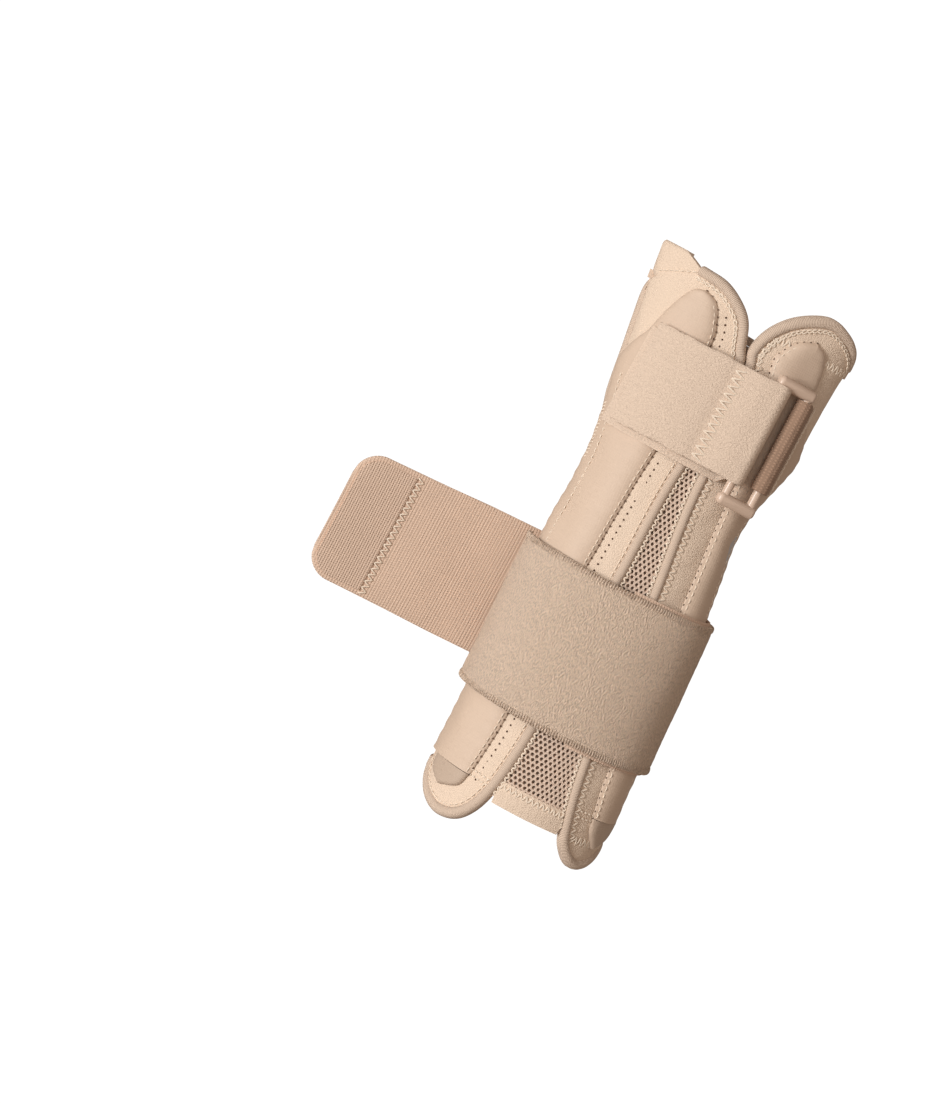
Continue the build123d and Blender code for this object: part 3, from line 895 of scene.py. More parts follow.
def palm_grid(start, stop, rows, count=150):
    """Grid over the palm side; start and stop give y for each column from its place across."""
    turns, _ = turns_round(88.0, palm_spans(88.0), count)
    across = section_point(turns, 88.0, LAYOUT_OFF)[:, 0]
    low, high = start(across), stop(across)
    share = np.linspace(0, 1, rows)[:, None]
    y = low * (1 - share) + high * share
    ys = np.linspace(y.min(), y.max(), 90)
    table = np.array([turns_round(v, palm_spans(v), count)[0] for v in ys])
    table = np.where(table < 90, table + FLAT_JUMP, table)
    girth = np.array([turns_round(v, palm_spans(v), count)[1] for v in ys])
    columns = range(count)
    turn = np.stack([np.interp(y[:, c], ys, table[:, c]) for c in columns], 1)
    turn = np.where(turn > 270 + FLAT_TURN, turn - FLAT_JUMP, turn)
    return turn, y, np.stack([np.interp(y[:, c], ys, girth[:, c]) for c in columns], 1)


def outside_thumb_hole(top):
    """Which cells of the grid have no corner in the thumb hole."""
    inside = thumb_distance(top)[0] < 0
    return ~(inside[:-1, :-1] | inside[1:, :-1] | inside[:-1, 1:] | inside[1:, 1:])


def palm_piece(name, turn, y, girth, outer, inner, material, hole=False, puff=0.0):
    """Closed piece of the palm side, with or without the thumb hole."""
    lift = outer + puff * ripple(girth, y, 16, 21)
    top, under = section_point(turn, y, lift), section_point(turn, y, inner)
    if not hole:
        verts, faces = shell_mesh(top, under)
    else:
        keep = outside_thumb_hole(top)
        rows, columns = top.shape[:2]
        index = np.arange(rows * columns).reshape(rows, columns)
        upper = np.stack([index[:-1, :-1], index[:-1, 1:], index[1:, 1:], index[1:, :-1]], -1)[keep]
        count = rows * columns
        verts = np.concatenate([top.reshape(-1, 3), under.reshape(-1, 3)])
        edges = np.concatenate([upper[:, [a, b]] for a, b in ((0, 1), (1, 2), (2, 3), (3, 0))])
        present = {tuple(e) for e in edges.tolist()}
        rim = np.array([e for e in edges.tolist() if (e[1], e[0]) not in present])
        walls = np.stack([rim[:, 1], rim[:, 0], rim[:, 0] + count, rim[:, 1] + count], -1)
        for corner in np.unique(rim):
            for layer in (corner, corner + count):
                gap, nearest = thumb_distance(verts[layer])
                if -2 < gap < 2.6:
                    u, v, out = thumb_local(verts[layer])
                    away = np.array([u - nearest, v]) / max(math.hypot(u - nearest, v), 1e-6)
                    spot = np.array([nearest, 0]) + away * THUMB_RADIUS
                    verts[layer] = (THUMB_AT + np.array([0, 1, 0]) * spot[0] + THUMB_ACROSS * spot[1]
                                    + THUMB_OUT * out)
        faces = np.concatenate([upper, upper[:, ::-1] + count, walls])
    flat = np.stack([girth, y, 0 * y], -1).reshape(-1, 3)
    thing = new_object(name, verts, faces, material, np.concatenate([flat, flat]))
    if hole:
        drop_loose(thing)
    return thing


def drop_loose(thing):
    """Deletes vertices that no face uses."""
    work = bmesh.new()
    work.from_mesh(thing.data)
    bmesh.ops.delete(work, geom=[v for v in work.verts if not v.link_faces], context="VERTS")
    work.to_mesh(thing.data)
    work.free()


def palm_side():
    """Everything sewn on the palm side."""
    made = []
    grid = palm_grid(level(-100.3), palm_edge, 210)
    shell = palm_piece("palm_panel", *grid, 3.3, 0.95, suede(), hole=True, puff=0.14)
    made.append(fit_piece(shell, "sleeve", "suede", "palm_shell"))
    inside = palm_piece("palm_inner_lining", *grid, 0.8, 0.02, lining_cloth(), hole=True)
    made.append(fit_piece(inside, "sleeve", "lining", "palm_lining"))
    low = palm_grid(level(-103.8), level(-100.2), 6)
    beside_stay = np.clip(np.abs(section_point(low[0], low[1], 3.0)[..., 0] + 2) - 12, 0, 3) / 3
    hem = palm_piece("palm_forearm_hem", *low, 3.35 + 0.85 * beside_stay, 0.95, tape())
    made.append(fit_piece(hem, "sleeve", "binding", "palm_lower_hem"))
    high = palm_grid(lambda x: palm_edge(x) + 0.1, lambda x: palm_edge(x) + 3.4, 6)
    hem = palm_piece("palm_finger_hem", *high, 4.2, 0.95, tape())
    made.append(fit_piece(hem, "sleeve", "binding", "palm_upper_hem"))
    made.append(thumb_binding(grid))
    made.append(thumb_web())
    made.append(palm_pocket())
    return made


def thumb_binding(grid):
    """Rolled tape round the thumb hole."""
    turn, y, _ = grid
    top = section_point(turn, y, 2.4).reshape(-1, 3)
    u, v, out = thumb_local(top)
    near = (out > -12) & (out < 30) & (np.abs(u) < 40) & (np.abs(v) < 24)
    u, v, out = u[near], v[near], out[near]
    angle = np.linspace(0, 2 * np.pi, 221)[:-1]
    ring_u = np.where(np.cos(angle) >= 0, THUMB_HALF, -THUMB_HALF) + np.cos(angle) * THUMB_RADIUS
    ring_v = np.sin(angle) * THUMB_RADIUS
    outline = evenly(np.stack([np.append(ring_u, ring_u[0]), np.append(ring_v, ring_v[0])], -1), 0.8)[:-1]
    height = []
    for a, b in outline:
        gap = np.hypot(u - a, v - b)
        weight = 1 / (gap + 0.3) ** 4
        height.append((out * weight).sum() / weight.sum())
    height = np.array(height)
    for _ in range(8):
        height = (np.roll(height, 1) + 2 * height + np.roll(height, -1)) / 4
    line = (THUMB_AT + outline[:, :1] * np.array([0, 1, 0]) + outline[:, 1:] * THUMB_ACROSS
            + height[:, None] * THUMB_OUT)
    ahead = np.roll(line, -1, 0) - np.roll(line, 1, 0)
    ahead /= np.linalg.norm(ahead, axis=1, keepdims=True)
    beside = np.cross(ahead, THUMB_OUT)
    beside /= np.linalg.norm(beside, axis=1, keepdims=True)
    above = np.cross(beside, ahead)
    round_ = np.linspace(0, 2 * np.pi, 15)[:-1]
    skin = (line[:, None] + beside[:, None] * (np.cos(round_) * 1.7)[None, :, None]
            + above[:, None] * (np.sin(round_) * 2.3)[None, :, None])
    count, sides = skin.shape[:2]
    i, j = np.meshgrid(np.arange(count), np.arange(sides), indexing="ij")
    near_i, far_i, near_j, far_j = i * sides, (i + 1) % count * sides, j, (j + 1) % sides
    faces = np.stack([near_i + near_j, near_i + far_j, far_i + far_j, far_i + near_j], -1).reshape(-1, 4)
    layout = np.stack([i * 0.8, j * 0.75, 0 * i], -1).reshape(-1, 3).astype(float)
    thing = new_object("thumb_hole_edge", skin.reshape(-1, 3), faces, tape(), layout)
    return fit_piece(thing, "sleeve", "binding", "thumb_hole_binding")


WEB_Y, WEB_TURNS = (98.6, 112.8), (126, 236)


def thumb_web():
    """Strip between thumb and first finger, from the thumb side's lobe round to the palm."""
    low, high = WEB_Y

    def taper(y, girths):
        """Narrows the strip towards its end on the back of the hand."""
        return low + (y - low) * (0.62 + 0.38 * np.clip(girths / 11, 0, 1) ** 0.7)

    turns, y, girths = round_grid(np.linspace(low, high, 20), lambda y: (WEB_TURNS,), 60, taper)
    edge = np.minimum(y - low, high - y).clip(0)
    outer = 3.3 - 1.2 * np.exp(-edge / 0.8) + 0.12 * ripple(girths, y, 9, 8)
    thing = round_piece("thumb_web", turns, y, girths, outer, 1.0, suede())
    return fit_piece(thing, "sleeve", "suede", "thumb_web_strip")


def palm_pocket():
    """Cover over the palm stay, open at the forearm end."""
    xs, ys = np.linspace(-16, 12, 46), np.linspace(-97, 84, 120)
    x, y = np.meshgrid(xs, ys)
    edge = np.minimum(x + 16, 12 - x)
    inside = np.minimum(edge, 84 - y)
    low = 4.95 - 2.3 * (1 - np.exp(-inside / 1.1))
    low = np.clip(low + 0.05 * ripple(x, y, 14, 33) * np.clip(inside / 3, 0, 1), 2.5, 4.95)
    hollow = 1 - np.exp(-np.maximum(inside - 1.0, 0) / 0.4)
    top = np.stack([x, y, low], -1)
    under = np.stack([x, y, 5.15 - (5.15 - low - 0.6) * hollow], -1)
    verts, faces = shell_mesh(top, under)
    flat = np.stack([x, y, 0 * x], -1).reshape(-1, 3)
    thing = new_object("palm_stay_pocket_cover", verts, faces, satin(), np.concatenate([flat, flat]))
    return fit_piece(thing, "sleeve", "cover_satin", "palm_stay_pocket")


def linings():
    """The linings inside the two back panels."""
    made = []
    for name, (mesh_side, seam_side) in (("radial", radial_edges()), ("ulnar", ulnar_edges())):
        inset = moved(mesh_side, 2.6 if name == "ulnar" else -2.6)
        left, right = even_rows(seam_side, 160), even_rows(inset, 160)
        thing = sewn_patch(f"{name}_inner_lining", left, right, 30,
                           lambda s, y, edge: 0.8 + 0 * s, 0.02, lining_cloth())
        made.append(fit_piece(thing, "sleeve", "lining", f"{name}_lining"))
    return made


def stays():
    """The bare metal stays keep the frame's own shape."""
    metal = shared("stay_metal", lambda name: plain(name, colours().metal, 0.35, metallic=1.0))
    made = []
    for name in ("radial_stay", "ulnar_stay", "palm_stay"):
        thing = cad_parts[name]
        thing.data.materials.clear()
        thing.data.materials.append(metal)
        made.append(thing)
    return made


# ---------------------------------------------------------------- ring and hand strap

SLOPE = math.radians(3.5)
TILT = math.radians(24)
ALONG = np.array([0, math.cos(SLOPE), -math.sin(SLOPE)])
UP = np.array([0, math.sin(SLOPE), math.cos(SLOPE)])
RIGHT = np.array([1.0, 0, 0])
RING_X = math.cos(TILT) * RIGHT - math.sin(TILT) * UP
RING_UP = math.sin(TILT) * RIGHT + math.cos(TILT) * UP
RING_AT = np.array([19.4, 62.5, 45.5])
BAR_OFFSET, BAR_RADIUS = 6.0, 1.7
INNER_BAR, OUTER_BAR = RING_AT - BAR_OFFSET * RING_X, RING_AT + BAR_OFFSET * RING_X
STRAP_WRAP, ELASTIC_WRAP = 3.1, 2.7      # radii of the cloth round the bars
RING_HALF = np.array([8.7, 26.5, 2.1])


def ring_place(local):
    """Points given in the ring's own directions: across, along the bars and up."""
    local = np.asarray(local, float)
    return RING_AT + local[..., :1] * RING_X + local[..., 1:2] * ALONG + local[..., 2:] * RING_UP


def tube_faces(rings, sides):
    """Faces of a tube of rings of vertices, open at both ends."""
    i, j = np.meshgrid(np.arange(rings - 1), np.arange(sides), indexing="ij")
    a, b = i * sides + j, i * sides + (j + 1) % sides
    return np.stack([a, b, b + sides, a + sides], -1).reshape(-1, 4)


def rounded_block(half, radius, at):
    """Box with rounded edges as vertices and faces, from a ball pulled apart."""
    rings, sides = 17, 32
    polar = np.linspace(0, np.pi, rings)[:, None]
    turn = (np.arange(sides) * 2 * np.pi / sides + 0.01)[None, :]
    ball = np.stack([np.sin(polar) * np.cos(turn), np.sin(polar) * np.sin(turn),
                     np.cos(polar) + 0 * turn], -1)
    verts = (at + ball * radius + np.where(ball >= 0, 1, -1) * (half - radius)).reshape(-1, 3)
    return verts, tube_faces(rings, sides)


def moulded_ring():
    """Flat ring: two round bars and a rounded block across each end."""
    parts = []
    for end in (-1, 1):
        half = np.array([RING_HALF[0], 2.4, 2.3])
        parts.append(rounded_block(half, 1.9, np.array(
            [0, end * (RING_HALF[1] - half[1]), 0])))
    for bar in (-1, 1):
        steps, sides = 60, 28
        run = np.linspace(-1, 1, steps)
        along = run * (RING_HALF[1] - 1.6)
        flare = BAR_RADIUS + 0.34 * np.abs(run) ** 14
        round_ = np.arange(sides) * 2 * np.pi / sides
        verts = np.stack([
            bar * BAR_OFFSET + flare[:, None] * np.cos(round_),
            along[:, None] + 0 * round_, flare[:, None] * np.sin(round_)], -1).reshape(-1, 3)
        parts.append((verts, tube_faces(steps, sides)))
    verts, faces, start = [], [], 0
    for v, f in parts:
        verts.append(ring_place(v))
        faces.append(f + start)
        start += len(v)
    stuff = shared("ring", lambda name: plain(name, colours().ring, 0.3, grain=0.5, relief=0.012))
    thing = new_object("ring", np.concatenate(verts), np.concatenate(faces), stuff)
    return fit_piece(thing, "ring", "ring_plastic", "ring_buckle")


def smooth_line(points, step):
    """Smooth curve through the points, with points about step apart."""
    return evenly(flowing(points, len(points) * 14), step)


def ribbon(name, line, half_width, thickness, centre, material, axis_out=UP, bumps=0.0,
           edge_wave=0.12, seed=1, columns=None):
    """Strap whose side view is a line (across, up) in the plane square to the bars. Its thickness
    grows to the line's left."""
    line = evenly(line, 0.55)
    ahead = np.gradient(line, axis=0)
    ahead /= np.linalg.norm(ahead, axis=1, keepdims=True)
    left = np.stack([-ahead[:, 1], ahead[:, 0]], -1)
    columns = columns or int(half_width * 2 / 0.6)
    width = np.linspace(-1, 1, columns)
    run = lengths_along(line)
    along = width[None, :] * half_width + edge_wave * np.abs(width[None, :]) ** 8 * np.sign(
        width)[None, :] * ripple(run[:, None], 0, 9, seed)
    edge = (1 - np.abs(width)) * half_width
    half = thickness / 2 * np.sqrt(1 - np.exp(-edge / 0.35) * 0.75)
    relief = bumps * np.sin(2 * np.pi * run / 1.9)[:, None] * np.cos(
        2 * np.pi * along / 1.5) + 0.07 * ripple(run[:, None], along, 11, seed + 1)

    def skin(side):
        """One face of the strap."""
        away = (side * half[None, :] + relief * (side > 0))[..., None]
        flat = line[:, None, :] + left[:, None, :] * away
        return (centre + flat[..., :1] * RIGHT + flat[..., 1:] * axis_out + along[..., None] * ALONG)

    verts, faces = shell_mesh(skin(1), skin(-1))
    flat = np.stack([np.broadcast_to(run[:, None], along.shape), along, 0 * along], -1).reshape(-1, 3)
    return new_object(name, verts, faces, material, np.concatenate([flat, flat]))


STRAP_CENTRE = np.array([0, 62.5, 0])
HAND_STRAP_Y = (42.6, 82.4)
TAB_ARC_CENTRE = np.array([-5, 58.4, -19])
TAB_RADIUS, TAB_HOOK_RADIUS = 67.9, 66.45


def bar_local(bar, across, up):
    """(across, up) in the upright plane for a point given in the ring's tilted directions."""
    at = bar + np.asarray(across)[..., None] * RING_X + np.asarray(up)[..., None] * RING_UP
    return np.stack([at[..., 0], (at - STRAP_CENTRE) @ UP], -1)


def round_bar(bar, radius, wrap):
    """(across, up) of cloth wrapped round a bar, at angles in the ring's tilted directions."""
    return bar_local(bar, radius * np.cos(wrap), radius * np.sin(wrap))


def tab_line(radius, low, high, count):
    """(across, up) of the hand tab's curve between two angles in degrees."""
    arc = np.radians(np.linspace(low, high, count))
    return np.stack([TAB_ARC_CENTRE[0] + radius * np.cos(arc),
                     (TAB_ARC_CENTRE - STRAP_CENTRE) @ UP + radius * np.sin(arc)], -1)


def hand_strap():
    """The hand strap's two layers, its fold round the bar, its hook patch and its seam."""
    made = []
    # Lower layer: sewn to the sleeve, then up to the ring's inner bar.
    under = round_bar(INNER_BAR, STRAP_WRAP, np.radians(np.linspace(-112, -96, 4)))
    base = sleeve_following_strap("hand_strap_under", np.linspace(-36.4, 8, 52), under)
    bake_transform(base)
    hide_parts("hand_strap_base")
    made.append(base)
    # Fold round the inner bar and the top layer as far as the peeling tab.
    wrap = np.radians(np.linspace(-100, 98, 40))
    bend = round_bar(INNER_BAR, STRAP_WRAP, wrap)
    tab = tab_line(TAB_RADIUS, 88.3, 118.8, 60)
    whole = np.vstack([bend[:-1], smooth_line(np.vstack([bend[-1:], [[6.5, 50.6]], tab[::8]]), 0.55)])
    whole = evenly(whole, 0.5)
    loop = ribbon("hand_strap_top", whole, 20.0, 2.0, STRAP_CENTRE, brushed_webbing(), seed=4)
    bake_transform(loop)
    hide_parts("hand_strap_loop", "hand_strap_tab")
    made.append(loop)
    low = tab_line(TAB_HOOK_RADIUS, 92.6, 117.3, 40)
    hooks = ribbon("hand_tab_hook_patch", low, 17.8, 0.6, STRAP_CENTRE, hook_tape(), seed=6)
    made.append(fit_piece(hooks, "hand_tab", "hook", "hand_tab_hooks"))
    made.append(strap_seam())
    return made


def sleeve_following_strap(name, xs, under):
    """The hand strap's lower layer: it lies on the sleeve, then rises to meet the bar."""
    ys = np.linspace(*HAND_STRAP_Y, 64)
    rows = []
    for y in ys:
        girths = np.array([girth_of(x, y) for x in xs])
        ground = place(girths, np.full_like(girths, y), 6.8)
        aim = STRAP_CENTRE + under[:, :1] * RIGHT + under[:, 1:] * UP + (y - STRAP_CENTRE[1]) * ALONG
        rows.append(np.vstack([ground, aim]))
    fine = np.array([even_rows(row, 96) for row in rows])
    out = np.cross(np.gradient(fine, axis=1), np.gradient(fine, axis=0))
    out /= np.linalg.norm(out, axis=-1, keepdims=True)
    out *= np.where(out[..., 2:].mean() < 0, -1, 1)
    edge = np.minimum(ys - HAND_STRAP_Y[0], HAND_STRAP_Y[1] - ys)[:, None]
    half = 0.5 * np.sqrt(1 - 0.8 * np.exp(-edge / 0.5))[..., None]
    verts, faces = shell_mesh(fine + out * half, fine - out * half)
    run = np.broadcast_to(np.arange(96) * 0.55, fine.shape[:2])
    flat = np.stack([run, np.broadcast_to(ys[:, None], run.shape), 0 * run], -1).reshape(-1, 3)
    return new_object(name, verts, faces, brushed_webbing(), np.concatenate([flat, flat]))


def strap_seam():
    """Zigzag of long light threads where the tab is sewn to the webbing."""
    height = (TAB_ARC_CENTRE - STRAP_CENTRE) @ UP + TAB_RADIUS + 1.05
    lines = []
    pitch = 1.55
    steps = int(38 / pitch)
    for i in range(steps):
        a, b = -19 + i * pitch, -19 + (i + 1) * pitch
        x0, x1 = (-4.4, 0.7) if i % 2 else (0.7, -4.4)
        t = np.linspace(0, 1, 6)
        arch = 0.32 * np.sin(np.pi * t) - 0.1
        lines.append(STRAP_CENTRE + (x0 + (x1 - x0) * t)[:, None] * RIGHT
                     + (height + 0.3 + arch)[:, None] * UP + (a + (b - a) * t)[:, None] * ALONG)
    thing = cord_object("hand_strap_seam", [(np.array(lines), UP)], 0.4, thread_stuff())
    return fit_piece(thing, "hand_loop", "webbing")


def ring_elastic():
    """Ribbed elastic from the sleeve round the ring's outer bar, with its chain stitch."""
    wrap = np.radians(np.linspace(35, 242, 50))
    bend = round_bar(OUTER_BAR, ELASTIC_WRAP, wrap)
    upper = bar_local(OUTER_BAR, np.array([6.3]), np.array([-4.3]))
    lower = bar_local(OUTER_BAR, np.array([6.3]), np.array([-5.9]))
    line = np.vstack([smooth_line(np.vstack([upper, bend[:1]]), 0.5)[:-1], bend,
                      smooth_line(np.vstack([bend[-1:], lower]), 0.5)[1:]])
    thing = ribbon("ring_elastic", line, 18.7, 1.4, STRAP_CENTRE, elastic_cloth(), bumps=0.22, seed=9)
    fit_piece(thing, "sleeve", "anchor_elastic", "ring_anchor")
    lines = []
    spot = (upper[0] + bend[0]) / 2
    for strand in (-0.55, 0.55):
        for i in range(17):
            t = np.linspace(0, 1, 6)
            y = -18.3 + (i + t) * 2.16
            bow = strand + 0.35 * np.sign(strand) * np.sin(np.pi * t)
            at = (STRAP_CENTRE + (spot[0] + 0.75 + bow * 0.75)[:, None] * RIGHT
                  + (spot[1] + 0.75 - bow * 0.55 + 0.2 * np.sin(np.pi * t))[:, None] * UP
                  + y[:, None] * ALONG)
            lines.append(at)
    chain = cord_object("ring_elastic_stitches", [(np.array(lines), UP)], 0.33, thread_stuff())
    return [thing, fit_piece(chain, "sleeve", "anchor_elastic")]


# ---------------------------------------------------------------- forearm strap

BAND_Y = (-67.5, -7.5)
UNDER_Y = (-68.8, -6.4)
FREE_RISE = math.radians(14)
FREE_AHEAD = np.array([-math.cos(FREE_RISE), math.sin(FREE_RISE)])
FREE_OUT = np.array([math.sin(FREE_RISE), math.cos(FREE_RISE)])
FREE_BENDS = np.array([-21.7, 2.23]) + np.cumsum([0, 25, 23, 17])[:, None] * FREE_AHEAD
FREE_MIDDLE_Y = -34.2
FREE_END = np.array([-110.6, 24.4])


def band_start(y):
    """Turn at which the band comes out from under its own free end."""
    return turn_of_height(y, 8, 20, 180, 225)


def forearm_band():
    """The wide band round the forearm and the layer below it."""
    made = []
    start, stop = BAND_Y
    ys = np.linspace(start, stop, 116)

    def spans(y):
        """The band's stretches of turns, from under its free end round to its root."""
        return (band_start(y), -90), (-90, -120), (270, 246)

    def wave(y, girths):
        """Lets the band's two edges wander a little."""
        return y + 0.28 * ripple(girths, 0 * girths, 23, 14) * np.abs((2 * y - start - stop) / 60) ** 3

    turns, y, girths = round_grid(ys, spans, 330, wave)
    edge = np.minimum(np.abs(y - start), np.abs(y - stop)).clip(0)
    outer = (8.75 - 0.75 * np.exp(-edge / 0.55) - 0.28 * np.exp(-((edge - 2.3) / 0.5) ** 2)
             + 0.1 * ripple(girths, y, 21, 15) + 0.05 * ripple(girths, y, 3.1, 16))
    band = round_piece("forearm_band_pile", turns, y, girths, outer, 7.25, pile(), floor=0.0)
    made.append(fit_piece(band, "sleeve", "band", "forearm_band"))
    ys = np.linspace(*UNDER_Y, 60)
    turns, y, girths = round_grid(ys, lambda y: ((84, -90), (-90, -112)), 150)
    edge = np.minimum(np.abs(y - UNDER_Y[0]), np.abs(y - UNDER_Y[1])).clip(0)
    below = round_piece("forearm_band_underlayer", turns, y, girths,
                        7.1 - 0.3 * np.exp(-edge / 0.4), 6.3, strap_back())
    made.append(fit_piece(below, "sleeve", "band", "forearm_under_strap"))
    return made


def free_strap():
    """The pulled-open end of the forearm strap, in lengths that bend where the frame's strap does."""
    root = section_point(246.0, -37.5, 7.95)
    start = np.array([root[0], max(root[2], 1.0)])
    middles = (FREE_BENDS[:-1] + FREE_BENDS[1:]) / 2
    stops = [start, *middles, FREE_END]
    bodies = ("sleeve", "strap_root", "strap_middle", "strap_end", "strap_tab")
    made = []
    whole = smooth_line(np.array([start, FREE_BENDS[0], *middles, FREE_BENDS[3], FREE_END]), 0.5)
    run = -whole[:, 0]
    for i in range(4):
        a, b = -stops[i][0], -stops[i + 1][0]
        first, final = np.searchsorted(run, a), np.searchsorted(run, b)
        part = whole[first:min(final, len(whole) - 1) + 1]
        last = i == 3
        reach = np.interp(-part[:, 0], [-start[0], 22, 57, 76, 98, 111], [27.2, 27.25, 27, 26.4, 26, 25.9])
        thing = free_length(f"forearm_strap_free_{i + 1}", part, reach, last)
        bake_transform(thing)
        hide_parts(f"forearm_{bodies[i + 1]}")
        made.append(thing)
    made.append(tab_hooks())
    made.append(free_seam())
    return made


def free_length(name, line, reach, last):
    """One length of the free strap along a line; the last has a rounded end."""
    ahead = np.gradient(line, axis=0)
    ahead /= np.linalg.norm(ahead, axis=1, keepdims=True)
    left = np.stack([ahead[:, 1], -ahead[:, 0]], -1)
    width = np.linspace(-1, 1, 96)
    if last:
        tip = -line[-1, 0]
        inward = np.maximum(0, -line[:, 0] - (tip - 10)) / 10
        reach = reach - 10 * (1 - np.sqrt(np.clip(1 - inward**2, 0, 1)))
    run = -line[:, 0]
    y = FREE_MIDDLE_Y + width[None, :] * reach[:, None]
    edge = (1 - np.abs(width))[None, :] * reach[:, None]
    half = 0.85 * np.sqrt(1 - 0.75 * np.exp(-edge / 0.5))
    sag = 0.22 * ripple(run[:, None], y, 26, 41) - 0.35 * np.abs(width[None, :]) ** 4
    relief = 0.05 * np.sin(2 * np.pi * run / 1.25)[:, None] * np.ones_like(y)

    def skin(side):
        """One face of the strap."""
        away = (side * half + sag + relief * side)[..., None]
        flat = line[:, None, :] + left[:, None, :] * away
        return np.stack([flat[..., 0], y, np.maximum(flat[..., 1], 0.2)], -1)

    verts, faces = shell_mesh(skin(1), skin(-1))
    flat = np.stack([np.broadcast_to(run[:, None], y.shape), y, 0 * y], -1).reshape(-1, 3)
    return new_object(name, verts, faces, strap_back(), np.concatenate([flat, flat]))


def tab_hooks():
    """Hook patch on the inner face of the strap's tab."""
    line = np.linspace(FREE_BENDS[3] + (-3.4, 0.85), FREE_END + (1.6, -0.4), 50)
    width = np.linspace(-1, 1, 92)
    inward = np.maximum(0, -line[:, 0] - (109 - 8)) / 8
    reach = 24 - 8 * (1 - np.sqrt(np.clip(1 - inward**2, 0, 1)))
    y = FREE_MIDDLE_Y + width[None, :] * reach[:, None]
    knobs = 0.10 * np.sin(2 * np.pi * line[:, 0] / 1.3)[:, None] * np.sin(2 * np.pi * y / 1.4)
    sag = 0.22 * ripple(-line[:, :1], y, 26, 41) - 0.35 * np.abs(width[None, :] * 0.93) ** 4

    def skin(height):
        """One face of the strap."""
        flat = line[:, None, :] + FREE_OUT * (sag + height)[..., None]
        return np.stack([flat[..., 0], y, flat[..., 1]], -1)

    verts, faces = shell_mesh(skin(1.5 + knobs), skin(0.7 + 0 * knobs))
    flat = np.stack([np.broadcast_to(line[:, :1], y.shape), y, 0 * y], -1).reshape(-1, 3)
    thing = new_object("forearm_tab_hook_patch", verts, faces, hook_tape(), np.concatenate([flat, flat]))
    return fit_piece(thing, "strap_tab", "hook", "forearm_tab_hooks")


def free_seam():
    """Zigzag that holds the tab to the elastic."""
    lines, pitch = [], 1.3
    at = FREE_BENDS[3] + (-1.5, 0.37)
    for i in range(int(50 / pitch)):
        t = np.linspace(0, 1, 6)
        x = at[0] + (1.5 if i % 2 else -1.5) * (1 - 2 * t)
        y = FREE_MIDDLE_Y - 25 + (i + t) * pitch
        z = at[1] - (x - at[0]) * 0.249 + 1.0 + 0.3 * np.sin(np.pi * t) - 0.35 * np.abs(
            (y - FREE_MIDDLE_Y) / 26) ** 4
        lines.append(np.stack([x, y, z], -1))
    thing = cord_object("forearm_tab_seam", [(np.array(lines), (0, 0, 1))], 0.3, thread_stuff())
    return fit_piece(thing, "strap_tab", "hook")


# ---------------------------------------------------------------- stitching

def stitch_frames(path, pitch):
    """Even points a stitch apart on a layout path, with the directions ahead and to the left."""
    path = evenly(path, pitch)
    left = sideways(path)
    return path[:-1], path[1:] - path[:-1], left[:-1]


def running(path, lift, pitch, gap=0.22):
    """Straight stitches on a layout path: thread lines and their outward directions."""
    at, step, _ = stitch_frames(path, pitch)
    t = np.linspace(gap / 2, 1 - gap / 2, 6)
    sy = at[:, None] + step[:, None] * t[None, :, None]
    off = lift + 0.42 * np.sin(np.pi * (t - gap / 2) / (1 - gap)) - 0.22
    return place(sy[..., 0], sy[..., 1], off[None, :] + 0 * sy[..., 0]), normal_at(sy[..., 0], sy[..., 1])


def zigzag(path, lift, pitch, width):
    """Zigzag stitches on a layout path."""
    at, step, left = stitch_frames(path, pitch)
    side = np.where(np.arange(len(at)) % 2, 1, -1)[:, None, None] * width / 2
    t = np.linspace(0, 1, 7)
    sy = at[:, None] + step[:, None] * t[None, :, None] + left[:, None] * side * (1 - 2 * t)[None, :, None]
    off = lift + 0.4 * np.sin(np.pi * t) - 0.15
    return place(sy[..., 0], sy[..., 1], off[None, :] + 0 * sy[..., 0]), normal_at(sy[..., 0], sy[..., 1])


def chain(path, lift, pitch, width):
    """Chain stitch: two strands bowed apart in each link."""
    lines, ups = [], []
    at, step, left = stitch_frames(path, pitch)
    t = np.linspace(-0.12, 1.06, 8)
    for side in (-1, 1):
        bow = side * width / 2 * np.sin(np.pi * np.clip(t + 0.06, 0, 1)) ** 0.7
        sy = at[:, None] + step[:, None] * t[None, :, None] + left[:, None] * bow[None, :, None]
        off = lift + 0.25 * np.sin(np.pi * np.clip(t, 0, 1)) - 0.05
        lines.append(place(sy[..., 0], sy[..., 1], off[None, :] + 0 * sy[..., 0]))
        ups.append(normal_at(sy[..., 0], sy[..., 1]))
    return np.concatenate(lines), np.concatenate(ups)


def overlock(path, lift, pitch, width):
    """Loops standing off a cut edge."""
    at, step, left = stitch_frames(path, pitch)
    t = np.linspace(0, 1, 10)
    out = np.sin(np.pi * t) * width
    sway = (t - 0.5) * 1.5
    sy = at[:, None] + step[:, None] * sway[None, :, None] + left[:, None] * out[None, :, None]
    off = lift + 0.5 * np.sin(2 * np.pi * t)
    return place(sy[..., 0], sy[..., 1], off[None, :] + 0 * sy[..., 0]), normal_at(sy[..., 0], sy[..., 1])


